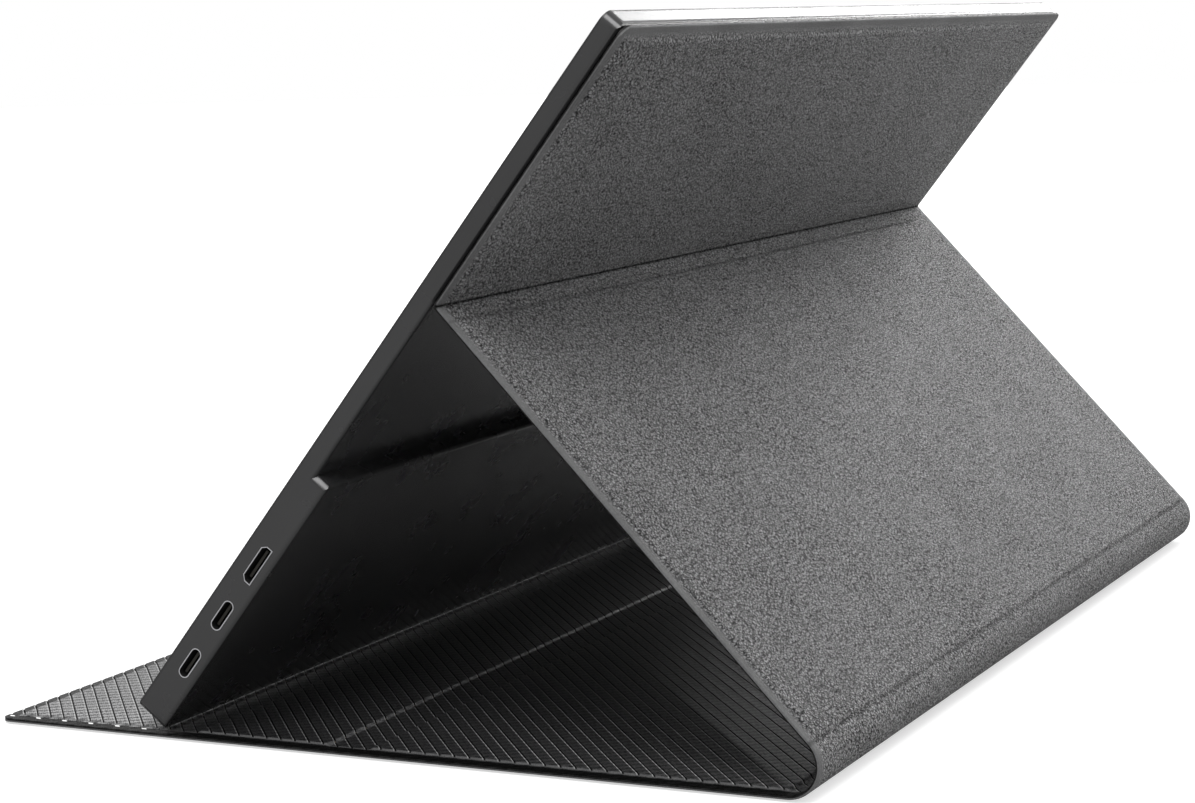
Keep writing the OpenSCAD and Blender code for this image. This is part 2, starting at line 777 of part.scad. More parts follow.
module stiffener(len, rim0, rim1) {
    color(board_tan) translate([-cover_w / 2 + board_inset, rim0 + rim_level, skin_t])
        cube([cover_w - 2 * board_inset, len - rim0 - rim1 - 2 * rim_level, stiff_t]);
}

// A crease: the two skins lie bonded together at the rim's level. It stops short of the
// next panel by the gap at a seam between two bodies.
module crease_skin(y, w, z) {
    translate([-cover_w / 2, y, z]) cube([cover_w, w - seam_gap, skin_t]);
}

// Where each panel lies: the base panels on the table, the strut and the upper panel up
module on_flap() {
    translate([0, front_y, 0]) children();
}

module on_mid() {
    translate([0, mid_y, 0]) children();
}

module on_rear() {
    translate([0, rear_y, 0]) children();
}

module on_strut() {
    translate([0, strut_y, strut_z]) rotate([180 - strut_angle, 0, 0]) translate([0, seam_gap, 0]) children();
}

module on_back() {
    translate([0, fold_world_y, fold_z]) rotate([tilt, 0, 0]) translate([0, fold_back_gap, 0]) children();
}

back_panel_len = back_len - fold_back_gap;
strut_panel_len = strut_len - fold_strut_gap - seam_gap;
rear_panel_len = rear_len - seam_gap;

module back_leather() {
    on_back() leather(back_panel_len, 0, rim_w);
}

module back_lining() {
    on_back() lining(back_panel_len, 0, rim_w);
}

// The magnets lie in pockets in the upper panel's board, behind the keeper plates
module magnet_places() {
    magnet_panel_y = magnet_y - fold_y - fold_back_gap;
    for (x = magnet_xs) translate([x, magnet_panel_y, skin_t]) children();
}

module back_board() {
    on_back() difference() {
        stiffener(back_panel_len, 0, rim_w);
        magnet_places() translate([-magnet_l / 2 - fit_gap, -magnet_w / 2 - fit_gap, -1])
            cube([magnet_l + 2 * fit_gap, magnet_w + 2 * fit_gap, stiff_t + 2]);
    }
}

module cover_magnets() {
    color(shell_metal) on_back() magnet_places()
        translate([-magnet_l / 2, -magnet_w / 2, 0]) cube([magnet_l, magnet_w, stiff_t]);
}

// The fold between the upper panel and the strut: an arc with a straight run to each panel.
// level is the skin's height above the leather faces.
module fold_skin(level) {
    r = fold_r + level - rim_level;
    tangent_y = (fold_r - rim_level) * tan(fold_turn / 2);
    back_run = fold_back_gap - tangent_y - seam_gap;
    strut_run = fold_strut_gap - tangent_y;
    along_x(cover_w) translate(fold_centre) {
        sector(r, r + skin_t, tilt + 90, 270 - strut_angle);
        rotate(tilt) translate([-eps, r]) square([back_run + eps, skin_t]);
        rotate(180 - strut_angle) translate([-strut_run, r]) square([strut_run + eps, skin_t]);
    }
}

module fold_leather() {
    color(leather_grey) fold_skin(rim_level);
}

module fold_lining() {
    color(lining_grey) fold_skin(rim_level + skin_t);
}

module strut_leather() {
    on_strut() leather(strut_panel_len, 0, 0);
}

module strut_board() {
    on_strut() stiffener(strut_panel_len, 0, 0);
}

module strut_lining() {
    on_strut() lining(strut_panel_len, 0, 0);
}

// The spine rolls from the rear panel's end up to the strut
module spine_skin(r) {
    translate([0, spine_y, spine_z]) along_x(cover_w) sector(r - skin_t, r, -90, 90 - strut_angle);
}

module spine_leather() {
    color(leather_grey) spine_skin(spine_r);
}

module spine_lining() {
    color(lining_grey) spine_skin(spine_r - skin_t);
}

module rear_leather() {
    on_rear() leather(rear_panel_len, 0, 0);
}

module rear_board() {
    on_rear() stiffener(rear_panel_len, 0, 0);
}

module rear_lining() {
    on_rear() lining(rear_panel_len, 0, 0);
}

module rear_crease_leather() {
    color(leather_grey) crease_skin(rear_crease_y, rear_crease_w, rim_level);
}

module rear_crease_lining() {
    color(lining_grey) crease_skin(rear_crease_y, rear_crease_w, rim_level + skin_t);
}

module mid_leather() {
    on_mid() leather(mid_len, 0, 0);
}

module mid_board() {
    on_mid() stiffener(mid_len, 0, 0);
}

module mid_lining() {
    on_mid() lining(mid_len, 0, 0);
}

module front_crease_leather() {
    color(leather_grey) crease_skin(front_crease_y, front_crease_w, rim_level);
}

module front_crease_lining() {
    color(lining_grey) crease_skin(front_crease_y, front_crease_w, rim_level + skin_t);
}

module flap_leather() {
    on_flap() leather(flap_len, rim_w, 0);
}

module flap_board() {
    on_flap() stiffener(flap_len, rim_w, 0);
}

module flap_lining() {
    on_flap() lining(flap_len, rim_w, 0);
}

rear_housing();
front_frame();
front_glass();
lcd_panel();
light_guide();
panel_tray();
keeper_plates();
main_board();
shield_can();
button_board();
board_screws();
display_ribbon();
usb_c_socket_lower();
usb_c_socket_upper();
mini_hdmi_socket();
headphone_socket();
power_button();
power_switch();
menu_rocker();
rocker_pin();
menu_switches();
speaker_left();
speaker_right();
back_leather();
back_board();
back_lining();
cover_magnets();
fold_leather();
fold_lining();
strut_leather();
strut_board();
strut_lining();
spine_leather();
spine_lining();
rear_leather();
rear_board();
rear_lining();
rear_crease_leather();
rear_crease_lining();
mid_leather();
mid_board();
mid_lining();
front_crease_leather();
front_crease_lining();
flap_leather();
flap_board();
flap_lining();
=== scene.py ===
"""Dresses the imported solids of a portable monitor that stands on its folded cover.

The cover is one long sheet of leather bonded to one long sheet of ribbed lining, with
boards between them. Both sheets are drawn flat, where S is the distance from the flap's
free edge, and are then folded into the stand. All lengths are in metres.
"""

from __future__ import annotations

import logging
import math
from dataclasses import dataclass, field
from enum import Enum
from typing import Any, Iterable

import bmesh
import bpy
from mathutils import Matrix, Vector
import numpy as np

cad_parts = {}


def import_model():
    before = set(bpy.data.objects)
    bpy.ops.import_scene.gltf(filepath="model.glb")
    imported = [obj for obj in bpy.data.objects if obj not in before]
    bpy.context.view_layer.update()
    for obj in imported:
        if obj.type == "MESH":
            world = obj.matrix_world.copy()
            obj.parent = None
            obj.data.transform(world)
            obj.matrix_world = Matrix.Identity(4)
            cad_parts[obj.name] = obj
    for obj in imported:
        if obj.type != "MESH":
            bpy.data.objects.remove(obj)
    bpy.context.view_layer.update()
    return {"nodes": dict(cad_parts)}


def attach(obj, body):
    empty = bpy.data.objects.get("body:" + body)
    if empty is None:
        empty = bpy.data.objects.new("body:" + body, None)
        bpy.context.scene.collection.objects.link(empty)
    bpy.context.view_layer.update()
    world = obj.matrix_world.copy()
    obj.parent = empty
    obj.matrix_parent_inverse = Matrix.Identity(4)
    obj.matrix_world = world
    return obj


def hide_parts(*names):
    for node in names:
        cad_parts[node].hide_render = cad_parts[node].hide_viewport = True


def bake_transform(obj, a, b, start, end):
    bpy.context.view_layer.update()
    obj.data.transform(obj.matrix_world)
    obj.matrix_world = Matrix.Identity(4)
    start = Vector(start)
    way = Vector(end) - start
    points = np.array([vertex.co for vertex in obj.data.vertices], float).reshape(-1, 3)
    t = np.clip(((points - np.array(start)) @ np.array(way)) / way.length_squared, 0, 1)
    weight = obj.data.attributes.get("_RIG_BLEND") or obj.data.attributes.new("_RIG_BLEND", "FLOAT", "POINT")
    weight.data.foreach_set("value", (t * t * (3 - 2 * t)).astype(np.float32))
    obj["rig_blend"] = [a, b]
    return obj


LOG = logging.getLogger("portable_monitor")
MM = 0.001
WELD = 1e-6
CUT_SNAP = 1e-8
COVER_MAP = "flat_cover"
INSIDE_LAYER = "inside_rims"
Colour = tuple[float, float, float]
Wire = bpy.types.NodeSocket


def smooth_step(value: float) -> float:
    """Eases a value from 0 to 1, held at the ends."""
    t = min(max(value, 0.0), 1.0)
    return t * t * (3.0 - 2.0 * t)


def spaced(start: float, end: float, steps: int) -> list[float]:
    """Evenly spaced places from start to end, both included."""
    return [start + (end - start) * step / steps for step in range(steps + 1)]


# ---------------------------------------------------------------- sizes


@dataclass(frozen=True)
class MonitorLayout:
    """Sizes of the monitor and where it stands, as the solids have them."""

    width: float = 355 * MM
    height: float = 223 * MM
    slim: float = 5.3 * MM
    thick: float = 9.7 * MM
    bay_height: float = 84 * MM
    tilt: float = math.radians(51.9)
    edge_radius: float = 1.4 * MM
    foot_lead: float = 0.9 * MM
    port_depth: float = 5.5 * MM


@dataclass(frozen=True)
class CoverLayout:
    """Sizes of the cover and the way that it folds into a stand."""

    monitor: MonitorLayout = field(default_factory=MonitorLayout)
    side: float = 1 * MM
    skin: float = 0.5 * MM
    board: float = 1.2 * MM
    rim: float = 3.5 * MM
    corner: float = 4 * MM
    flap: float = 51.5 * MM
    front_crease: float = 7.5 * MM
    rear_crease: float = 10.9 * MM
    rear: float = 113.5 * MM
    spine_radius: float = 8.3 * MM
    strut: float = 136.4 * MM
    fold_height: float = 140.5 * MM
    fold_back_gap: float = 1.5 * MM
    fold_strut_gap: float = 4.5 * MM
    fold_radius: float = 0.4 * MM
    rest_gap: float = 0.3 * MM
    over: float = 0.3 * MM

    @property
    def width(self) -> float:
        """Width of the cover."""
        return self.monitor.width + 2 * self.side

    @property
    def thickness(self) -> float:
        """Thickness over a board."""
        return 2 * self.skin + self.board

    @property
    def rim_level(self) -> float:
        """Height of the leather's outer face where no board lies under it."""
        return self.thickness / 2 - self.skin

    @property
    def strut_reach(self) -> float:
        """Distance along the table from the fold's corner back to the spine's centre."""
        return self.strut * math.cos(self.strut_lean) - self.roll * math.sin(self.strut_lean)

    @property
    def foot_reach(self) -> float:
        """Distance along the table from the monitor's foot to the spine's centre."""
        lean = self.monitor.tilt
        along = self.strut_reach + self.fold_height * math.cos(lean)
        return along + self.back_offset * math.sin(lean)

    @property
    def middle(self) -> float:
        """Length of the middle panel."""
        others = self.front_crease + self.rear_crease + self.rear
        return self.foot_reach - self.monitor.foot_lead - others

    @property
    def rear_crease_start(self) -> float:
        """S where the rear crease starts."""
        return self.flap + self.front_crease + self.middle

    @property
    def base_length(self) -> float:
        """Length of the flat base from the flap's edge to the spine."""
        return self.rear_crease_start + self.rear_crease + self.rear

    @property
    def roll(self) -> float:
        """Radius of the spine at the boards' outer face."""
        return self.spine_radius + self.rim_level

    @property
    def roll_middle(self) -> float:
        """Radius of the spine where the two skins meet."""
        return self.spine_radius - self.skin

    @property
    def front_y(self) -> float:
        """Y of the flap's free edge."""
        return -(self.base_length + self.roll - self.rim_level) / 2

    @property
    def spine_y(self) -> float:
        """Y of the spine's centre."""
        return self.front_y + self.base_length

    @property
    def foot_z(self) -> float:
        """Height of the corner that the monitor's frame of reference starts from."""
        lean = self.monitor.tilt
        lift = self.monitor.edge_radius * (math.sin(lean) + math.cos(lean) - 1)
        return self.thickness + self.rest_gap - lift

    @property
    def back_offset(self) -> float:
        """Distance from the bay's rear plane to the upper panel's outer face."""
        return self.monitor.slim - self.monitor.thick + self.thickness

    @property
    def fold_z(self) -> float:
        """Height of the fold's corner."""
        lean = self.monitor.tilt
        return self.foot_z + self.fold_height * math.sin(lean) - self.back_offset * math.cos(lean)

    @property
    def strut_lean(self) -> float:
        """Angle between the strut and the table."""
        reach = math.hypot(self.strut, self.roll)
        return math.asin((self.fold_z - self.roll) / reach) - math.atan(self.roll / self.strut)

    @property
    def fold_y(self) -> float:
        """Y of the fold's corner."""
        return self.spine_y - self.strut_reach

    @property
    def foot_y(self) -> float:
        """Y of the corner that the monitor's frame of reference starts from."""
        return self.spine_y - self.foot_reach

    @property
    def spine_arc(self) -> float:
        """Angle that the cover turns through in the spine."""
        return math.pi - self.strut_lean

    @property
    def strut_start(self) -> float:
        """S where the strut starts."""
        return self.base_length + self.roll_middle * self.spine_arc

    @property
    def strut_end(self) -> float:
        """S where the strut's board ends."""
        return self.strut_start + self.strut - self.fold_strut_gap

    @property
    def fold_turn(self) -> float:
        """Angle that the cover turns through at the fold."""
        return math.pi - self.monitor.tilt - self.strut_lean

    @property
    def fold_tangent(self) -> float:
        """Distance from the fold's corner to where its round starts."""
        return (self.fold_radius - self.rim_level) * math.tan(self.fold_turn / 2)

    @property
    def fold_middle(self) -> float:
        """Radius of the fold where the two skins meet."""
        return self.fold_radius + self.skin

    @property
    def fold_start(self) -> float:
        """S where the fold's round starts."""
        return self.strut_start + self.strut - self.fold_tangent

    @property
    def back_start(self) -> float:
        """S of the fold's corner, counted on the upper panel's side."""
        return self.fold_start + self.fold_middle * self.fold_turn - self.fold_tangent

    @property
    def length(self) -> float:
        """Length of the flat cover."""
        return self.back_start + self.monitor.height + self.over - self.fold_height

    def boards(self) -> list[tuple[float, float]]:
        """Where the boards lie along the cover.

        Returns:
            Start and end of every board, slopes included.
        """
        middle = self.flap + self.front_crease
        rear = self.rear_crease_start + self.rear_crease
        return [
            (self.rim, self.flap),
            (middle, middle + self.middle),
            (rear, rear + self.rear),
            (self.strut_start, self.strut_end),
            (self.back_start + self.fold_back_gap, self.length - self.rim),
        ]

    def place(self, s: float, z: float) -> tuple[float, float]:
        """Folds a point of the flat cover into the stand.

        Args:
            s: Distance from the flap's free edge along the cover.
            z: Height above the leather's outer face over a board.

        Returns:
            Y and Z of the point.
        """
        if s <= self.base_length:
            return self.front_y + s, z
        lean, tilt = self.strut_lean, self.monitor.tilt
        if s <= self.strut_start:
            turn = (s - self.base_length) / self.roll_middle
            radius = self.roll - z
            return self.spine_y + radius * math.sin(turn), self.roll - radius * math.cos(turn)
        if s <= self.fold_start:
            run = s - self.strut_start
            rise, reach = math.sin(lean), math.cos(lean)
            y = self.spine_y + self.roll * rise - run * reach - z * rise
            return y, self.roll + self.roll * reach + run * rise - z * reach
        turn = (s - self.fold_start) / self.fold_middle
        if turn <= self.fold_turn:
            angle = 1.5 * math.pi - lean - turn
            radius = self.fold_radius - self.rim_level + z
            centre = self.fold_centre()
            return centre[0] + radius * math.cos(angle), centre[1] + radius * math.sin(angle)
        run = s - self.back_start
        y = self.fold_y + run * math.cos(tilt) - z * math.sin(tilt)
        return y, self.fold_z + run * math.sin(tilt) + z * math.cos(tilt)

    def fold_centre(self) -> tuple[float, float]:
        """Finds the centre of the fold's round.

        Returns:
            Y and Z of the centre.
        """
        lean, tilt = self.strut_lean, self.monitor.tilt
        across = Vector((-math.sin(tilt) - math.sin(lean), math.cos(tilt) - math.cos(lean)))
        across.normalize()
        offset = (self.rim_level - self.fold_radius) / math.cos(self.fold_turn / 2)
        return self.fold_y + across.x * offset, self.fold_z + across.y * offset

    def point(self, s: float) -> Vector:
        """Point of the folded cover's middle layer at the middle of its width."""
        y, z = self.place(s, self.thickness / 2)
        return Vector((0.0, y, z))

    def monitor_matrix(self) -> Matrix:
        """Puts a lying monitor piece, Z = 0 on the slim rear face, where the monitor leans.

        Returns:
            The matrix that stands it up.
        """
        lift = self.monitor.thick - self.monitor.slim
        return (
            Matrix.Translation((0.0, self.foot_y, self.foot_z))
            @ Matrix.Rotation(self.monitor.tilt, 4, "X")
            @ Matrix.Translation((0.0, 0.0, lift))
        )


# ---------------------------------------------------------------- shader nodes


class Nodes:
    """Shader nodes of one tree, added and joined by short calls."""

    def __init__(self, tree: bpy.types.NodeTree) -> None:
        """Empties a tree to start with.

        Args:
            tree: Tree of a material or of the world.
        """
        tree.nodes.clear()
        self.tree = tree

    def node(
        self, kind: str, inputs: dict[Any, Any] | None = None, **settings: Any
    ) -> bpy.types.Node:
        """Adds a node.

        Args:
            kind: Node type without its ShaderNode prefix.
            inputs: Values or sockets by input name or index.
            settings: Attributes of the node itself.

        Returns:
            The new node.
        """
        made = self.tree.nodes.new("ShaderNode" + kind)
        for key, value in settings.items():
            setattr(made, key, value)
        self.feed(made, inputs or {})
        return made

    def feed(self, node: bpy.types.Node, inputs: dict[Any, Any]) -> None:
        """Sets or links inputs of a node.

        Args:
            node: Node to feed.
            inputs: Values or sockets by input name or index.
        """
        for key, value in inputs.items():
            if isinstance(value, bpy.types.NodeSocket):
                self.tree.links.new(value, node.inputs[key])
            else:
                node.inputs[key].default_value = value

    def maths(self, operation: str, first: Any, *others: Any) -> Wire:
        """Adds a Math node for one value, or a chain of them for several.

        Args:
            operation: Name of the operation.
            first: Value or socket.
            others: Further values or sockets, taken in turn.

        Returns:
            The result.
        """
        for second in others or (0.0,):
            first = self.node("Math", {0: first, 1: second}, operation=operation).outputs[0]
        return first

    def vector(self, operation: str, first: Any, second: Any) -> Wire:
        """Vector result of a Vector Math node."""
        return self.node("VectorMath", {0: first, 1: second}, operation=operation).outputs[0]

    def away(self, value: Any, centre: Any) -> Wire:
        """Distance of a value from a centre."""
        return self.maths("ABSOLUTE", self.maths("SUBTRACT", value, centre))

    def spread(
        self, value: Any, low: float, high: float, to_low: float = 0.0, to_high: float = 1.0
    ) -> Wire:
        """Maps a value from one range to another, held at its ends.

        Args:
            value: Value or socket.
            low: Where the first range starts.
            high: Where the first range ends.
            to_low: Result at low.
            to_high: Result at high.

        Returns:
            The mapped value.
        """
        ranges = {"From Min": low, "From Max": high, "To Min": to_low, "To Max": to_high}
        return self.node("MapRange", {"Value": value, **ranges}).outputs[0]

    def fall(self, value: Any, low: float, high: float) -> Wire:
        """Share that falls from 1 to 0 as a value goes from low to high."""
        return self.spread(value, low, high, 1.0, 0.0)

    def noise(self, place: Wire, scale: float, detail: float = 2.0, rough: float = 0.5) -> Wire:
        """Noise at a place, with its scale in 1/mm."""
        inputs = {"Vector": place, "Scale": scale, "Detail": detail, "Roughness": rough}
        return self.node("TexNoise", inputs).outputs["Fac"]

    def blend(self, share: Any, first: Any, second: Any) -> Wire:
        """Goes from one colour to another.

        Args:
            share: Share of the second colour.
            first: Colour or socket.
            second: Colour or socket.

        Returns:
            The blended colour.
        """
        inputs = {0: share}
        for key, value in ((6, first), (7, second)):
            inputs[key] = (*value, 1.0) if isinstance(value, tuple) else value
        return self.node("Mix", inputs, data_type="RGBA").outputs[2]


class Graph(Nodes):
    """Nodes of one material round its Principled shader."""

    def __init__(self, name: str) -> None:
        """Starts a material.

        Args:
            name: Name of the material.
        """
        self.material = bpy.data.materials.new(name)
        self.material.use_nodes = True
        super().__init__(self.material.node_tree)
        self.shader = self.node("BsdfPrincipled")
        self.node("OutputMaterial", {0: self.shader.outputs[0]})

    def shade(self, inputs: dict[str, Any]) -> bpy.types.Material:
        """Feeds the shader and hands over the finished material."""
        self.feed(self.shader, inputs)
        return self.material

    def in_mm(self, place: Wire, turn: tuple[float, float, float]) -> Wire:
        """A place in millimetres, turned about the three axes."""
        scale = (1.0 / MM,) * 3
        return self.node("Mapping", {"Vector": place, "Rotation": turn, "Scale": scale}).outputs[0]

    def object_mm(self, turn: float = 0.0) -> Wire:
        """Object coordinates in millimetres, with a leaning piece laid flat by a turn about X."""
        return self.in_mm(self.node("TexCoord").outputs["Object"], (turn, 0.0, 0.0))

    def cover_mm(self, turn: float = 0.0) -> tuple[Any, Wire]:
        """Reads the flat cover's own map.

        Args:
            turn: Angle that the pattern is turned by in the plane of the cover.

        Returns:
            The places across and along the cover in metres, and the turned place in millimetres.
        """
        flat = self.node("UVMap", uv_map=COVER_MAP).outputs[0]
        return self.parts(flat), self.in_mm(flat, (0.0, 0.0, turn))

    def parts(self, place: Wire) -> Any:
        """The X, Y and Z sockets of a place."""
        return self.node("SeparateXYZ", {0: place}).outputs

    def cracks(self, place: Wire, scale: float) -> Wire:
        """Distance from the edges of a pattern of cells."""
        inputs = {"Vector": place, "Scale": scale, "Randomness": 1.0}
        return self.node("TexVoronoi", inputs, feature="DISTANCE_TO_EDGE").outputs["Distance"]

    def waves(self, place: Wire, scale: float, distortion: float, direction: str) -> Wire:
        """Adds wavy bands.

        Args:
            place: Where the pattern is read.
            scale: Scale of the bands.
            distortion: How wavy they are.
            direction: Axis that they lie across.

        Returns:
            The height of the bands, from 0 to 1.
        """
        inputs = {"Distortion": distortion, "Detail": 1.0, "Detail Scale": 2.0}
        inputs |= {"Vector": place, "Scale": scale}
        return self.node("TexWave", inputs, bands_direction=direction).outputs["Fac"]

    def bump(self, height: Wire, distance: float) -> Wire:
        """Normal of a bump from a height, with its distance in metres."""
        inputs = {"Height": height, "Distance": distance, "Strength": 1.0}
        return self.node("Bump", inputs).outputs[0]


# ---------------------------------------------------------------- finishes


@dataclass(frozen=True)
class LeatherFinish:
    """Grained synthetic leather: pebbles with painted highlight on their tops and painted shade in their
    dark valleys, pressed lines, painted shade in the fold's valley and a pressed margin.

    Shares are parts of 1, and a pressed line is its share of darkening and half its width.
    """

    layout: CoverLayout
    name: str = "leather"
    # valley and top: the grain's tone, partly painted shade in the valleys and partly painted highlight on
    # the pebble tops.
    valley: Colour = (0.005, 0.005, 0.0055)
    top: Colour = (0.35, 0.35, 0.353)
    # pressed: colour of the pressed lines, and of the painted shade along the fold's valley.
    pressed: Colour = (0.004, 0.004, 0.004)
    roughness: float = 0.5
    depth: float = 1.0 * MM
    cell: float = 0.86
    crumbs_in_cell: float = 2.3
    swirls_in_cell: float = 0.9
    push: tuple[float, float, float] = (0.9, 0.9, 0.0)
    crack: tuple[float, float] = (0.02, 0.26)
    pebble_share: float = 0.55
    crumb_share: float = 0.3
    patch_share: float = 0.26
    pore_share: float = 0.15
    cloud_share: float = 0.12
    margin: tuple[float, float] = (1.9 * MM, 4.2 * MM)
    margin_relief: float = 0.12
    margin_depth: float = 0.5
    margin_dark: float = 0.5
    margin_gloss: float = 0.45
    valley_gloss: float = 0.02
    line_gloss: float = 0.04
    spine_line: tuple[float, float] = (0.45, 0.8 * MM)
    strut_line: tuple[float, float] = (0.2, 0.5 * MM)
    # Painted shade along the fold's valley: its share of darkening and half its width.
    fold_valley_shade: tuple[float, float] = (1.0, 1.1 * MM)

    def relief(self, g: Graph, place: Wire) -> Wire:
        """Height of the grain.

        Args:
            g: The material's nodes.
            place: Place on the flat cover in millimetres.

        Returns:
            The height, from 0 in a valley to about 1.
        """
        scale = self.swirls_in_cell / self.cell
        inputs = {"Vector": place, "Scale": scale, "Detail": 2.0, "Roughness": 0.5}
        swirl = g.node("TexNoise", inputs).outputs["Color"]
        pushed = g.vector("ADD", g.vector("MULTIPLY", swirl, self.push), place)
        pebble = g.spread(g.cracks(pushed, 1.0 / self.cell), *self.crack)
        crumb = g.spread(g.cracks(pushed, self.crumbs_in_cell / self.cell), *self.crack)
        patch = g.noise(place, 1.1 / self.cell, 3.0, 0.6)
        patch = g.spread(patch, 0.38, 0.62, 0.0, self.patch_share)
        pebble = g.maths("MULTIPLY", pebble, self.pebble_share)
        return g.maths("ADD", pebble, g.maths("MULTIPLY", crumb, self.crumb_share), patch)

    def lines(self, g: Graph, along: Wire) -> Wire:
        """Pressed lines at the strut's two ends, and painted shade along the fold's valley.

        Args:
            g: The material's nodes.
            along: Distance from the flap's free edge.

        Returns:
            The share of darkening.
        """
        c = self.layout
        valley = c.fold_start + c.fold_middle * c.fold_turn / 2
        places = (c.strut_start, c.strut_end, valley)
        lines = (self.spine_line, self.strut_line, self.fold_valley_shade)
        shares = []
        for place, (share, half) in zip(places, lines):
            shares.append(g.spread(g.away(along, place), half * 0.3, half, share, 0.0))
        return g.maths("MAXIMUM", *shares)

    def grained(self, g: Graph, flat: Any) -> Wire:
        """Where the grain stands up: not on the pressed margin, fully a little way inside.

        Args:
            g: The material's nodes.
            flat: Places across and along the cover.

        Returns:
            The share of the grain.
        """
        c = self.layout
        side = g.maths("SUBTRACT", c.width / 2, g.maths("ABSOLUTE", flat[0]))
        end = g.maths("MINIMUM", flat[1], g.maths("SUBTRACT", c.length, flat[1]))
        return g.spread(g.maths("MINIMUM", side, end), *self.margin)

    def material(self) -> bpy.types.Material:
        """Builds the material on the flat cover's own map.

        Returns:
            The material.
        """
        g = Graph(self.name)
        flat, place = g.cover_mm()
        grained = self.grained(g, flat)
        kept = g.spread(grained, 0.0, 1.0, self.margin_relief, 1.0)
        swing = g.maths("SUBTRACT", self.relief(g, place), 0.5)
        relief = g.maths("ADD", 0.5, g.maths("MULTIPLY", swing, kept))
        pore = g.maths("MULTIPLY", g.noise(place, 4.5, 2.0, 0.6), self.pore_share)
        share = g.spread(grained, 0.0, 1.0, self.margin_depth, 1.0)
        height = g.maths("MULTIPLY", g.maths("ADD", relief, pore), share)
        # Grain tone: darker in the valleys and paler on the tops, partly as painted shade and painted
        # highlight.
        tone = g.blend(g.spread(relief, 0.2, 0.95), self.valley, self.top)
        tone = g.blend(g.spread(grained, 0.0, 0.8, self.margin_dark, 0.0), tone, self.valley)
        cloud = g.spread(g.noise(place, 0.03, 3.0), 0.35, 0.7, 0.0, self.cloud_share)
        tone = g.blend(cloud, tone, self.top)
        # Darkening by the pressed lines and by the painted shade in the fold's valley.
        line = g.maths("MULTIPLY", self.lines(g, flat[1]), g.spread(relief, 0.5, 1.1, 1.0, 0.6))
        gloss = g.maths(
            "MULTIPLY",
            g.spread(relief, 0.25, 0.95, self.valley_gloss, 1.0),
            g.spread(grained, 0.0, 0.8, self.margin_gloss, 1.0),
            g.spread(line, 0.0, 1.0, 1.0, self.line_gloss),
        )
        dull, smooth = self.roughness + 0.14, self.roughness - 0.04
        return g.shade(
            {
                "Base Color": g.blend(line, tone, self.pressed),
                "Roughness": g.spread(relief, 0.1, 0.9, dull, smooth),
                "Specular IOR Level": gloss,
                "Normal": g.bump(height, self.depth),
            }
        )


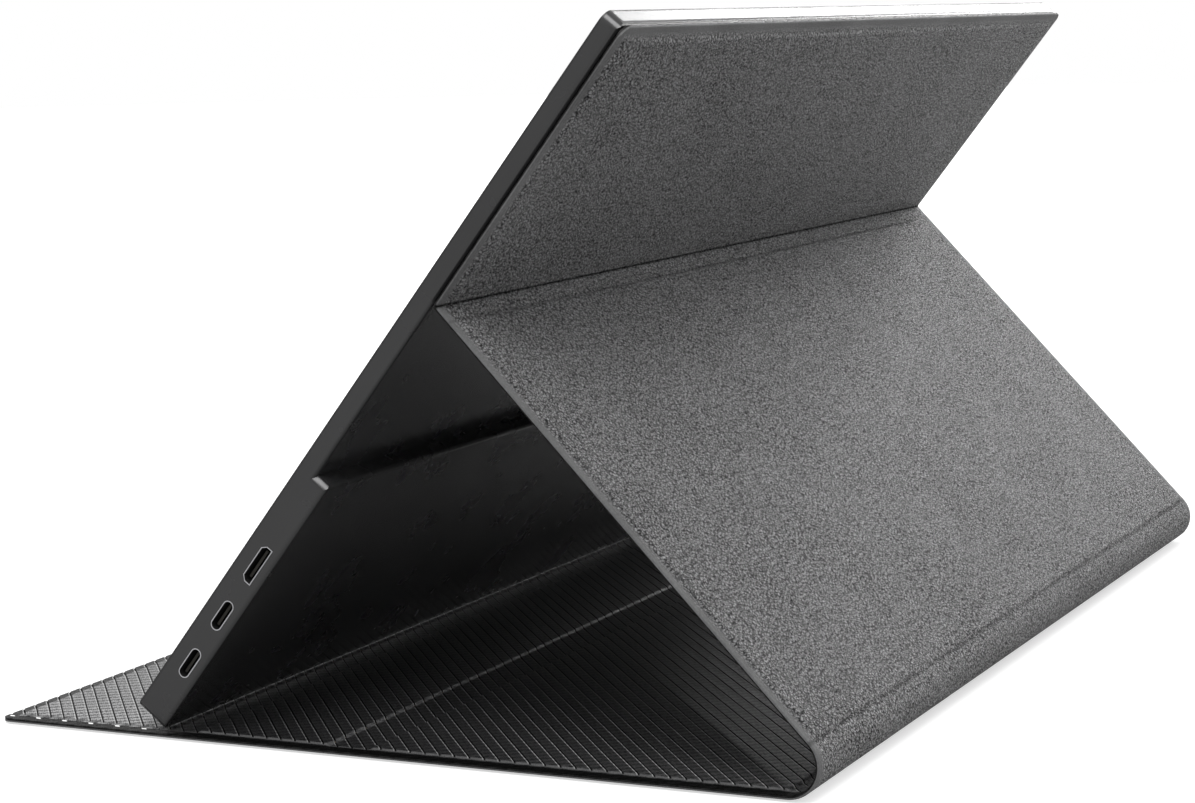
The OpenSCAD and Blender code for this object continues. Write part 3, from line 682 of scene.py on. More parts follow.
@dataclass(frozen=True)
class LiningFinish:
    """Ribbed lining: cross threads under painted light, grooves with painted shade, a painted highlight line
    beside each, painted highlights on the banks, painted glints, dark outer rims.

    Pairs are the values at the start and the end of what they are named for.
    """

    layout: CoverLayout
    turn: float
    pitch: float
    name: str = "lining"
    colour: Colour = (0.006, 0.006, 0.0065)
    # Painted light: the pale tone of the raised threads where light falls on them.
    painted_light_tone: Colour = (0.34, 0.34, 0.343)
    # Painted highlight beside each groove; shaded_line is its shaded copy by the foot.
    line: Colour = (0.42, 0.42, 0.42)
    shaded_line: Colour = (0.05, 0.05, 0.05)
    # deep: near black, painted shade on the groove floors, and also the outer rims' colour.
    deep: Colour = (0.002, 0.002, 0.002)
    # Painted highlight on the board edge's slope beside the rim and along the rear crease.
    bank: Colour = (0.085, 0.085, 0.086)
    # Painted glint colour at the groove ends beside the flap's rim.
    painted_glint: Colour = (0.9, 0.9, 0.9)
    roughness: float = 0.42
    depth: float = 0.06 * MM
    line_at: float = 0.36 * MM
    line_width: float = 0.26 * MM
    deep_width: float = 0.44 * MM
    line_end: float = 174.5 * MM
    glint_at: float = 175.4 * MM
    glint_reach: tuple[float, float] = (0.3 * MM, 0.6 * MM)
    flap_fade: float = 3.0 * MM
    lit_run: float = 85.0 * MM
    lit: tuple[float, float] = (0.1, 0.75)
    # Painted light: over the base, low by the foot and rising to the rear; on the flap, by its open ends.
    base_painted_light: tuple[float, float] = (0.015, 0.16)
    flap_painted_light: tuple[float, float] = (0.55, 1.0)
    flap_ends: tuple[float, float] = (105.0 * MM, 170.0 * MM)
    crease_at: float = 0.6 * MM
    crease_reach: tuple[float, float] = (0.4 * MM, 0.8 * MM)

    def edges(self, g: Graph, along: Wire, hatch: Wire) -> tuple[Wire, Wire]:
        """Shares of the dark outer rim and of the painted highlights on the banks beside the rim and along
        the rear crease.

        Args:
            g: The material's nodes.
            along: Distance from the flap's free edge.
            hatch: Share of the threads that stand up.

        Returns:
            The rim's share and the banks' share.
        """
        inside = g.node("Attribute", attribute_name=INSIDE_LAYER).outputs["Fac"]
        slope = g.spread(g.away(inside, 0.6), 0.2, 0.4, 0.8, 0.0)
        crease = self.layout.rear_crease_start - self.crease_at
        # Painted highlight along the rear crease, on its raised threads.
        pressed = g.spread(g.away(along, crease), *self.crease_reach, 0.9, 0.0)
        pressed = g.maths("MULTIPLY", pressed, g.spread(hatch, 0.0, 1.0, 0.4, 1.0))
        return g.fall(inside, 0.0, 0.2), g.maths("MAXIMUM", slope, pressed)

    def on_flap(self, g: Graph, along: Wire) -> Wire:
        """Share that is 1 on the flap and fades out at its crease."""
        return g.fall(along, self.layout.flap - self.flap_fade, self.layout.flap)

    def painted_line_light(self, g: Graph, along: Wire) -> Wire:
        """Painted highlight on the lines: full on the flap, low in the shade by the foot and rising to the
        rear.

        Args:
            g: The material's nodes.
            along: Distance from the flap's free edge.

        Returns:
            The share of the lines' full painted highlight.
        """
        start = self.layout.flap + self.layout.middle * 0.3
        rising = g.spread(along, start, start + self.lit_run, *self.lit)
        return g.maths("MAXIMUM", self.on_flap(g, along), rising)

    def glints(self, g: Graph, across: Wire, flat: Any) -> Wire:
        """Share of the painted glints at every second groove's end beside the flap's rim.

        Args:
            g: The material's nodes.
            across: Place across the grooves in millimetres.
            flat: Places across and along the cover.

        Returns:
            The share, from 0 to 1.
        """
        turn = g.maths("FRACT", g.maths("DIVIDE", across, 2.0 * self.pitch / MM))
        away = g.away(g.maths("ABSOLUTE", flat[0]), self.glint_at)
        painted_glint = g.fall(g.away(turn, 0.5), 0.07, 0.1)
        return g.maths("MULTIPLY", painted_glint, g.fall(away, *self.glint_reach), self.on_flap(g, flat[1]))

    def painted_light_share(self, g: Graph, flat: Any) -> Wire:
        """Share of painted light: low on the base by the foot, rising towards the rear, and highest at the
        flap's open ends.

        Args:
            g: The material's nodes.
            flat: Places across and along the cover.

        Returns:
            The share, from 0 to 1.
        """
        c = self.layout
        base = g.spread(flat[1], c.flap, c.flap + c.middle + c.rear, *self.base_painted_light)
        ends = g.spread(g.maths("ABSOLUTE", flat[0]), *self.flap_ends, *self.flap_painted_light)
        return g.maths("MAXIMUM", base, g.maths("MULTIPLY", ends, self.on_flap(g, flat[1])))

    def material(self) -> bpy.types.Material:
        """Builds the material on the flat cover's own map.

        Returns:
            The material.
        """
        g = Graph(self.name)
        flat, place = g.cover_mm(self.turn)
        thread = g.waves(place, 0.1, 0.6, "Y")
        weft = g.waves(place, 0.62, 1.0, "X")
        grain = g.noise(place, 1.5, 2.0, 0.6)
        woven = g.maths("ADD", g.maths("MULTIPLY", thread, 0.5), g.maths("MULTIPLY", weft, 0.25))
        relief = g.maths("ADD", woven, g.spread(grain, 0.36, 0.64, 0.08, 0.72))
        hatch = g.spread(relief, 0.45, 1.15)
        cloud = g.spread(g.noise(place, 0.02, 3.0), 0.3, 0.7, 0.7, 1.0)
        painted_light_mask = g.maths("MULTIPLY", hatch, self.painted_light_share(g, flat), cloud)

        across = g.parts(place)[0]
        pitch = self.pitch / MM
        phase = g.maths("FRACT", g.maths("ADD", g.maths("DIVIDE", across, pitch), 0.5))
        off = g.maths("MULTIPLY", g.maths("SUBTRACT", phase, 0.5), pitch)
        inside = g.fall(g.maths("ABSOLUTE", flat[0]), self.line_end - 0.5 * MM, self.line_end)
        line = g.fall(g.away(off, self.line_at / MM), 0.05, self.line_width / MM / 2 + 0.05)
        line = g.maths("MULTIPLY", line, inside, g.spread(thread, 0.1, 0.7, 0.45, 1.0))
        half = self.deep_width / MM / 2
        # Painted shade on the groove floors.
        deep = g.fall(g.maths("ABSOLUTE", off), half - 0.08, half + 0.04)
        deep = g.maths("MULTIPLY", deep, inside)
        rim, bank = self.edges(g, flat[1], hatch)

        # Painted light on the raised threads: pale at the flap's open ends, dark in the shade over the base.
        tone = g.blend(painted_light_mask, self.colour, self.painted_light_tone)
        # Painted highlight on the banks.
        tone = g.blend(bank, tone, self.bank)
        tone = g.blend(g.maths("MAXIMUM", deep, rim), tone, self.deep)
        # Painted highlight lines, lit on the flap and shaded by the foot.
        lines = g.blend(self.painted_line_light(g, flat[1]), self.shaded_line, self.line)
        tone = g.blend(line, tone, lines)
        gloss = g.maths(
            "MULTIPLY",
            g.spread(hatch, 0.0, 1.0, 0.2, 0.7),
            g.spread(deep, 0.0, 1.0, 1.0, 0.05),
            g.spread(rim, 0.0, 1.0, 1.0, 0.3),
        )
        dull, smooth = self.roughness + 0.08, self.roughness - 0.05
        return g.shade(
            {
                # Painted glints laid over the tone.
                "Base Color": g.blend(self.glints(g, across, flat), tone, self.painted_glint),
                "Roughness": g.spread(grain, 0.3, 0.7, dull, smooth),
                "Specular IOR Level": g.maths("ADD", gloss, g.maths("MULTIPLY", line, 0.3)),
                "Normal": g.bump(relief, self.depth),
            }
        )


@dataclass(frozen=True)
class MouldedFinish:
    """Moulded plastic with a fine spark-eroded texture."""

    name: str
    colour: Colour
    roughness: float = 0.42
    depth: float = 0.012 * MM
    texture: float = 7.0
    tone_range: float = 0.12
    specular: float = 0.5

    def material(self) -> bpy.types.Material:
        """Builds the material on Object coordinates.

        Returns:
            The material.
        """
        g = Graph(self.name)
        place = g.object_mm()
        light = tuple(c * (1.0 + self.tone_range) for c in self.colour)
        dark = tuple(c * (1.0 - self.tone_range) for c in self.colour)
        cloud = g.spread(g.noise(place, 0.018, 3.0), 0.3, 0.7)
        smear = g.noise(place, 0.05, 4.0, 0.6)
        smooth, dull = self.roughness - 0.04, self.roughness + 0.05
        return g.shade(
            {
                "Base Color": g.blend(cloud, dark, light),
                "Roughness": g.spread(smear, 0.3, 0.7, smooth, dull),
                "Specular IOR Level": self.specular,
                "Normal": g.bump(g.noise(place, self.texture, 3.0, 0.65), self.depth),
            }
        )


@dataclass(frozen=True)
class MetalFinish:
    """Plated or rolled metal with faint drawing marks."""

    name: str
    colour: Colour
    roughness: float = 0.25
    stretch: tuple[float, float, float] = (0.4, 3.0, 3.0)
    depth: float = 0.003 * MM
    dulling: float = 0.82

    def material(self) -> bpy.types.Material:
        """Builds the material on Object coordinates.

        Returns:
            The material.
        """
        g = Graph(self.name)
        place = g.object_mm()
        marks = g.noise(g.vector("MULTIPLY", place, self.stretch), 2.0, 4.0, 0.6)
        bloom = g.spread(g.noise(place, 0.15, 3.0), 0.3, 0.7, 0.0, 0.6)
        dull = tuple(c * self.dulling for c in self.colour)
        return g.shade(
            {
                "Base Color": g.blend(bloom, self.colour, dull),
                "Metallic": 1.0,
                "Roughness": g.spread(marks, 0.3, 0.7, self.roughness - 0.05, self.roughness + 0.1),
                "Normal": g.bump(marks, self.depth),
            }
        )


@dataclass(frozen=True)
class CircuitFinish:
    """Solder mask over copper tracks."""

    name: str = "circuit_board"
    mask: Colour = (0.012, 0.10, 0.045)
    track: Colour = (0.03, 0.20, 0.09)
    pad: Colour = (0.75, 0.6, 0.3)
    depth: float = 0.02 * MM
    tracks_in_cell: float = 5.0

    def material(self) -> bpy.types.Material:
        """Builds the material on Object coordinates.

        Returns:
            The material.
        """
        g = Graph(self.name)
        place = g.object_mm()
        inputs = {"Vector": place, "Scale": 0.3, "Randomness": 0.9}
        cells = g.node("TexVoronoi", inputs, distance="CHEBYCHEV", feature="F1").outputs["Distance"]
        rings = g.maths("FRACT", g.maths("MULTIPLY", cells, self.tracks_in_cell))
        copper = g.spread(rings, 0.42, 0.5)
        dots = g.node("TexVoronoi", {"Vector": place, "Scale": 0.55}, feature="F1")
        pads = g.fall(dots.outputs["Distance"], 0.12, 0.16)
        return g.shade(
            {
                "Base Color": g.blend(pads, g.blend(copper, self.mask, self.track), self.pad),
                "Roughness": g.spread(pads, 0.0, 1.0, 0.32, 0.25),
                "Normal": g.bump(copper, self.depth),
            }
        )


@dataclass(frozen=True)
class TongueFinish:
    """Black moulded tongue of a socket, with contact strips across it, darkened as painted shade."""

    layout: CoverLayout
    name: str = "socket_tongue"
    moulding: Colour = (0.012, 0.012, 0.0125)
    # contact: the gilt strips' colour, darkened as painted shade inside the socket.
    contact: Colour = (0.03, 0.027, 0.02)
    pitch: float = 0.5 * MM
    specular: float = 0.25

    def material(self) -> bpy.types.Material:
        """Builds the material on Object coordinates laid flat to the screen.

        Returns:
            The material.
        """
        g = Graph(self.name)
        along = g.parts(g.object_mm(-self.layout.monitor.tilt))[1]
        phase = g.maths("FRACT", g.maths("DIVIDE", along, self.pitch / MM))
        strip = g.fall(g.away(phase, 0.5), 0.2, 0.25)
        return g.shade(
            {
                # Contact strips, darkened as painted shade.
                "Base Color": g.blend(strip, self.moulding, self.contact),
                "Metallic": g.maths("MULTIPLY", strip, 0.8),
                "Roughness": g.spread(strip, 0.0, 1.0, 0.55, 0.35),
                "Specular IOR Level": self.specular,
            }
        )


@dataclass(frozen=True)
class BoardFinish:
    """Pressed fibre board with flecks."""

    name: str = "fibre_board"
    colour: Colour = (0.30, 0.25, 0.18)
    fleck: Colour = (0.16, 0.13, 0.10)
    roughness: float = 0.9
    stretch: tuple[float, float, float] = (0.35, 1.0, 1.0)
    depth: float = 0.06 * MM

    def material(self) -> bpy.types.Material:
        """Builds the material on Object coordinates.

        Returns:
            The material.
        """
        g = Graph(self.name)
        strands = g.noise(g.vector("MULTIPLY", g.object_mm(), self.stretch), 0.9, 5.0, 0.7)
        return g.shade(
            {
                "Base Color": g.blend(g.spread(strands, 0.4, 0.7), self.colour, self.fleck),
                "Roughness": self.roughness,
                "Normal": g.bump(strands, self.depth),
            }
        )


@dataclass(frozen=True)
class ScreenFinish:
    """Black cover glass: printed border, switched-off picture area behind it."""

    layout: CoverLayout
    name: str = "cover_glass"
    border: Colour = (0.004, 0.004, 0.0045)
    picture: Colour = (0.010, 0.011, 0.014)
    picture_size: tuple[float, float] = (344.2, 193.6)
    picture_low: float = 21.5
    print_edge: float = 0.15
    ior: float = 1.5

    def material(self) -> bpy.types.Material:
        """Builds the material on Object coordinates laid flat to the screen.

        Returns:
            The material.
        """
        g = Graph(self.name)
        tilt = self.layout.monitor.tilt
        lying = g.object_mm(-tilt)
        parts = g.parts(lying)
        start = (self.layout.foot_y * math.cos(tilt) + self.layout.foot_z * math.sin(tilt)) / MM
        middle = start + self.picture_low + self.picture_size[1] / 2
        places = (g.maths("ABSOLUTE", parts[0]), g.away(parts[1], middle))
        shares = []
        for place, size in zip(places, self.picture_size):
            shares.append(g.fall(place, size / 2 - self.print_edge, size / 2 + self.print_edge))
        return g.shade(
            {
                "Base Color": g.blend(g.maths("MULTIPLY", *shares), self.border, self.picture),
                "Roughness": g.spread(g.noise(lying, 0.02, 4.0, 0.65), 0.35, 0.75, 0.05, 0.11),
                "IOR": self.ior,
            }
        )


# ---------------------------------------------------------------- mesh helpers


def cut(
    bm: bmesh.types.BMesh, point: Iterable[float], normal: Iterable[float], drop: bool = False
) -> None:
    """Cuts a bmesh with a plane.

    Args:
        bm: The bmesh.
        point: A point of the plane.
        normal: The plane's normal.
        drop: Whether to delete what lies on the normal's side.
    """
    geom = [*bm.verts, *bm.edges, *bm.faces]
    plane = {"plane_co": tuple(point), "plane_no": tuple(normal)}
    bmesh.ops.bisect_plane(bm, geom=geom, dist=CUT_SNAP, clear_outer=drop, **plane)


def finish_piece(
    bm: bmesh.types.BMesh, name: str, material: bpy.types.Material, smooth: float | None = 35.0
) -> bpy.types.Object:
    """Turns a bmesh into a piece of the scene.

    Args:
        bm: The finished bmesh, which is freed.
        name: Name of the piece.
        material: Its material.
        smooth: Angle in degrees past which an edge shades sharp, or None for flat faces.

    Returns:
        The new object.
    """
    mesh = bpy.data.meshes.new(name)
    if smooth is not None:
        limit = math.radians(smooth)
        for face in bm.faces:
            face.smooth = True
        for edge in bm.edges:
            edge.smooth = len(edge.link_faces) != 2 or edge.calc_face_angle(0.0) < limit
    bm.to_mesh(mesh)
    bm.free()
    piece = bpy.data.objects.new(name, mesh)
    bpy.context.scene.collection.objects.link(piece)
    mesh.materials.append(material)
    return piece


# ---------------------------------------------------------------- cover


class Side(Enum):
    """The two skins of the cover."""

    LEATHER = "leather"
    LINING = "lining"


@dataclass(frozen=True)
class Stretch:
    """One length of a skin, which bends between two bodies or rides on one."""

    name: str
    start: float
    end: float
    bodies: tuple[str, str]
    bend: tuple[float, float]
    nodes: tuple[str, ...]


@dataclass
class CoverSkins:
    """The leather and the ribbed lining of the cover."""

    layout: CoverLayout
    slope: float = 1.3 * MM
    rib_pitch: float = 3.25 * MM
    rib_turn: float = math.radians(51.6)
    rib_depth: float = 0.24 * MM
    groove: float = 0.5 * MM
    groove_floor: float = 0.2 * MM
    lip: float = 0.5 * MM
    arc_steps: int = 26
    fold_steps: int = 16
    corner_steps: int = 7
    crease_steps: int = 10
    slope_steps: int = 4
    lip_parts: tuple[float, ...] = (0.08, 0.25, 0.5, 1.0)
    lip_fall: float = 0.8

    def stretches(self) -> list[Stretch]:
        """Divides a skin along the cover.

        Returns:
            Its five lengths, from the flap to the upper panel.
        """
        c = self.layout
        middle = c.flap + c.front_crease
        rear_crease = c.rear_crease_start
        rear = rear_crease + c.rear_crease
        half_spine = (c.base_length + c.strut_start) / 2
        fold_end = c.back_start + c.fold_back_gap
        ends = (0.0, middle, rear, half_spine, c.strut_end, c.length)
        names = ("flap", "middle", "base", "strut", "back")
        bodies = (
            ("middle", "flap"),
            ("base", "middle"),
            ("base", "spine"),
            ("spine", "strut"),
            ("strut", "screen"),
        )
        bends = (
            (middle, c.flap),
            (rear, rear_crease),
            (c.base_length, half_spine),
            (half_spine, c.strut_start),
            (c.strut_end, fold_end),
        )
        nodes = (
            ("front_crease", "flap"),
            ("rear_crease", "mid"),
            ("rear",),
            ("spine", "strut"),
            ("fold", "back"),
        )
        rows = zip(names, ends, ends[1:], bodies, bends, nodes)
        return [Stretch(*row) for row in rows]

    def cuts_along(self, piece: Stretch) -> list[float]:
        """S of every cut that the skin's slopes and rounds need.

        Args:
            piece: The length of skin.

        Returns:
            Sorted places strictly inside the length.
        """
        c = self.layout
        rear_crease = c.rear_crease_start
        spans = [
            (c.base_length, c.strut_start, self.arc_steps),
            (c.fold_start, c.fold_start + c.fold_middle * c.fold_turn, self.fold_steps),
            (c.flap, c.flap + c.front_crease, self.crease_steps),
            (rear_crease, rear_crease + c.rear_crease, self.crease_steps),
        ]
        for start, end in c.boards():
            spans.append((start, start + self.slope, self.slope_steps))
            spans.append((end, end - self.slope, self.slope_steps))
        cuts = {s for span in spans for s in spaced(*span)}
        for part in self.lip_parts:
            cuts.update((self.lip * part, c.length - self.lip * part))
        kept = sorted(s for s in cuts if piece.start + WELD < s < piece.end - WELD)
        return [s for i, s in enumerate(kept) if i == 0 or s - kept[i - 1] > WELD]

    def from_edge(self, x: float, s: float) -> float:
        """Distance of a point from the cover's nearest outer edge."""
        c = self.layout
        return min(c.width / 2 - abs(x), s, c.length - s)

    def board_share(self, x: float, s: float) -> float:
        """How far a point lies over a board.

        Args:
            x: Place across the cover.
            s: Distance from the flap's free edge.

        Returns:
            0 on a rim or a crease, 1 on a board.
        """
        c = self.layout
        across = smooth_step((c.width / 2 - c.rim - abs(x)) / self.slope)
        along = 0.0
        for start, end in c.boards():
            up, down = (s - start) / self.slope, (end - s) / self.slope
            along = max(along, smooth_step(up) * smooth_step(down))
        return across * along

    def inside_rims(self, x: float, s: float) -> float:
        """How far a point lies inside the cover's outer rim: 0 on the rim, 1 inside it."""
        return smooth_step((self.from_edge(x, s) - self.layout.rim) / self.slope)

    def edge_drop(self, x: float, s: float) -> float:
        """How far the skin's outer face falls back at its cut edge."""
        share = 1.0 - min(max(self.from_edge(x, s) / self.lip, 0.0), 1.0)
        return self.lip_fall * self.layout.skin * (1.0 - math.sqrt(1.0 - share * share))

    def groove_depth(self, x: float, s: float) -> float:
        """Depth of the lining's grooves, which run out before the side rims.

        Args:
            x: Place across the cover.
            s: Distance from the flap's free edge.

        Returns:
            The depth, 0 on a rib.
        """
        across = x * math.cos(self.rib_turn) - s * math.sin(self.rib_turn)
        off = abs((across / self.rib_pitch + 0.5) % 1.0 - 0.5) * self.rib_pitch
        wall = (self.groove - self.groove_floor) / 2
        share = min(max((self.groove / 2 - off) / wall, 0.0), 1.0)
        inside = self.layout.width / 2 - self.layout.rim - self.slope - abs(x)
        return self.rib_depth * share * smooth_step(1.0 + inside / self.slope)

    def flat_sheet(self, piece: Stretch) -> bmesh.types.BMesh:
        """Draws a plain sheet flat in X and S.

        Args:
            piece: The length of skin that it is for.

        Returns:
            The sheet.
        """
        bm = bmesh.new()
        bmesh.ops.create_grid(bm, x_segments=1, y_segments=1, size=0.5)
        length = piece.end - piece.start
        bmesh.ops.scale(bm, vec=(self.layout.width, length, 1.0), verts=bm.verts)
        bmesh.ops.translate(bm, vec=(0.0, (piece.start + piece.end) / 2, 0.0), verts=bm.verts)
        return bm

    def ribbed_sheet(self, piece: Stretch) -> bmesh.types.BMesh:
        """Draws a sheet flat in X and S, with the edges of its askew grooves as lines.

        Args:
            piece: The length of skin that it is for.

        Returns:
            The sheet.
        """
        c = self.layout
        half = c.width / 2
        turn = self.rib_turn
        corners = [(x, s) for x in (-half, half) for s in (piece.start, piece.end)]
        across = [x * math.cos(turn) - s * math.sin(turn) for x, s in corners]
        along = [x * math.sin(turn) + s * math.cos(turn) for x, s in corners]
        first = math.floor(min(across) / self.rib_pitch) - 1
        last = math.ceil(max(across) / self.rib_pitch) + 1
        edge = self.groove / 2 / self.rib_pitch
        floor = self.groove_floor / 2 / self.rib_pitch
        steps = (floor, edge, 0.5, 1 - edge, 1 - floor)
        places = [(k + step) * self.rib_pitch for k in range(first, last) for step in steps]
        bm = bmesh.new()
        bmesh.ops.create_grid(bm, x_segments=len(places) - 1, y_segments=1, size=0.5)
        low, high = min(along) - MM, max(along) + MM
        for vert in bm.verts:
            q = places[round((vert.co.x + 0.5) * (len(places) - 1))]
            vert.co = (q, low if vert.co.y < 0 else high, 0.0)
        bmesh.ops.rotate(bm, cent=(0, 0, 0), matrix=Matrix.Rotation(-turn, 3, "Z"), verts=bm.verts)
        for x in (-half, half):
            cut(bm, (x, 0, 0), (x, 0, 0), drop=True)
        cut(bm, (0, piece.start, 0), (0, -1, 0), drop=True)
        cut(bm, (0, piece.end, 0), (0, 1, 0), drop=True)
        return bm

    def round_corners(self, bm: bmesh.types.BMesh, piece: Stretch) -> None:
        """Cuts the free corners of a flat sheet round.

        Args:
            bm: The flat sheet.
            piece: The length of skin that it is for.
        """
        c = self.layout
        free = ((0.0, -1.0), (c.length, 1.0))
        for s, outward in (end for end in free if end[0] in (piece.start, piece.end)):
            for side in (-1.0, 1.0):
                centre = Vector((side * (c.width / 2 - c.corner), s - outward * c.corner, 0.0))
                for step in range(self.corner_steps):
                    angle = math.pi / 2 * (step + 0.5) / self.corner_steps
                    normal = Vector((side * math.cos(angle), outward * math.sin(angle), 0.0))
                    cut(bm, centre + normal * c.corner, normal, drop=True)

    def build(self, piece: Stretch, side: Side, material: bpy.types.Material) -> bpy.types.Object:
        """Makes one length of one skin, folded into the stand.

        Args:
            piece: The length of skin.
            side: Which skin.
            material: Its material.

        Returns:
            The finished object, bound to its bodies.
        """
        c = self.layout
        half = c.width / 2
        bm = self.flat_sheet(piece) if side is Side.LEATHER else self.ribbed_sheet(piece)
        bm.loops.layers.uv.new(COVER_MAP)
        bm.verts.layers.float.new(INSIDE_LAYER)
        self.round_corners(bm, piece)
        for s in self.cuts_along(piece):
            cut(bm, (0, s, 0), (0, 1, 0))
        insets = [self.lip * part for part in self.lip_parts]
        insets += spaced(c.rim, c.rim + self.slope, self.slope_steps)
        for inset in insets:
            for x in (-half + inset, half - inset):
                cut(bm, (x, 0, 0), (1, 0, 0))
        under = bmesh.ops.extrude_face_region(bm, geom=list(bm.faces))["geom"]
        under_verts = {item for item in under if isinstance(item, bmesh.types.BMVert)}
        self.map_and_fold(bm, under_verts, side)
        bmesh.ops.recalc_face_normals(bm, faces=bm.faces)
        made = finish_piece(bm, f"{piece.name}_{side.value}_skin", material)
        start, end = (c.point(s) for s in piece.bend)
        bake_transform(made, *piece.bodies, start=start, end=end)
        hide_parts(*(f"{node}_{side.value}" for node in piece.nodes))
        return made

    def map_and_fold(self, bm: bmesh.types.BMesh, under: set[Any], side: Side) -> None:
        """Gives a flat closed sheet its map, its thickness and its folded shape.

        Args:
            bm: The sheet, flat in X and S, with its under face still at the same height.
            under: Vertices of the face that lies against the boards.
            side: Which skin it is.
        """
        c = self.layout
        layer = bm.loops.layers.uv[COVER_MAP]
        inside_layer = bm.verts.layers.float[INSIDE_LAYER]
        for face in bm.faces:
            for loop in face.loops:
                loop[layer].uv = (loop.vert.co.x, loop.vert.co.y)
        for vert in bm.verts:
            x, s = vert.co.x, vert.co.y
            share = self.board_share(x, s)
            depth = c.rim_level * (1.0 - share)
            if vert in under:
                depth += c.skin
            else:
                depth += self.edge_drop(x, s)
                if side is Side.LINING:
                    depth += self.groove_depth(x, s)
            z = depth if side is Side.LEATHER else c.thickness - depth
            vert[inside_layer] = self.inside_rims(x, s)
            vert.co = (x, *c.place(s, z))

    def dress(self) -> list[bpy.types.Object]:
        """Makes both skins along the whole cover.

        Returns:
            The ten pieces.
        """
        leather = LeatherFinish(self.layout).material()
        lining = LiningFinish(self.layout, self.rib_turn, self.rib_pitch).material()
        made = []
        for piece in self.stretches():
            made.append(self.build(piece, Side.LEATHER, leather))
            made.append(self.build(piece, Side.LINING, lining))
        return made


# ---------------------------------------------------------------- carried-over solids


@dataclass
class SolidPieces:
    """The rigid solids that keep their own shape and get a finish."""

    layout: CoverLayout

    def finishes(self) -> dict[bpy.types.Material, tuple[str, ...]]:
        """Builds the finishes.

        Returns:
            Every material with the nodes that wear it.
        """
        black = MouldedFinish("black_plastic", (0.006, 0.006, 0.0065), 0.45, texture=9.0)
        key = MouldedFinish("key_plastic", (0.012, 0.012, 0.0125), 0.35, texture=10.0)
        plate = MetalFinish("switch_plating", (0.62, 0.62, 0.64), 0.3)
        tin = MetalFinish("tinned_sheet", (0.62, 0.62, 0.63), 0.3)
        steel = MetalFinish("screw_steel", (0.42, 0.42, 0.43), 0.32)
        guide = MouldedFinish("light_guide_film", (0.8, 0.82, 0.84), 0.25, texture=2.0)
        cell = MouldedFinish("screen_cell", (0.02, 0.022, 0.03), 0.15, texture=4.0)
        film = MouldedFinish("cable_film", (0.22, 0.10, 0.02), 0.35, texture=1.0)
        return {
            black.material(): ("front_frame", "headphone_socket", "speaker_left", "speaker_right"),
            key.material(): ("power_button", "menu_rocker"),
            ScreenFinish(self.layout).material(): ("front_glass",),
            plate.material(): ("power_switch", "menu_switches", "cover_magnets"),
            tin.material(): ("panel_tray", "shield_can", "keeper_plates"),
            steel.material(): ("board_screws", "rocker_pin"),
            CircuitFinish().material(): ("main_board", "button_board"),
            guide.material(): ("light_guide",),
            cell.material(): ("lcd_panel",),
            film.material(): ("display_ribbon",),
            BoardFinish().material(): tuple(
                f"{panel}_board" for panel in ("back", "strut", "rear", "mid", "flap")
            ),
        }

    def dress(self, nodes: dict[str, bpy.types.Object]) -> list[str]:
        """Gives each solid its finish.

        Args:
            nodes: The frame's nodes by name.

        Returns:
            Names of the nodes that were dressed.
        """
        dressed = []
        for material, names in self.finishes().items():
            for name in names:
                mesh = nodes[name].data
                mesh.materials.clear()
                mesh.materials.append(material)
                dressed.append(name)
        return dressed


@dataclass(frozen=True)
class Socket:
    """One socket in the monitor's side: its node, height above the foot and outer size."""

    node: str
    y: float
    width: float
    height: float


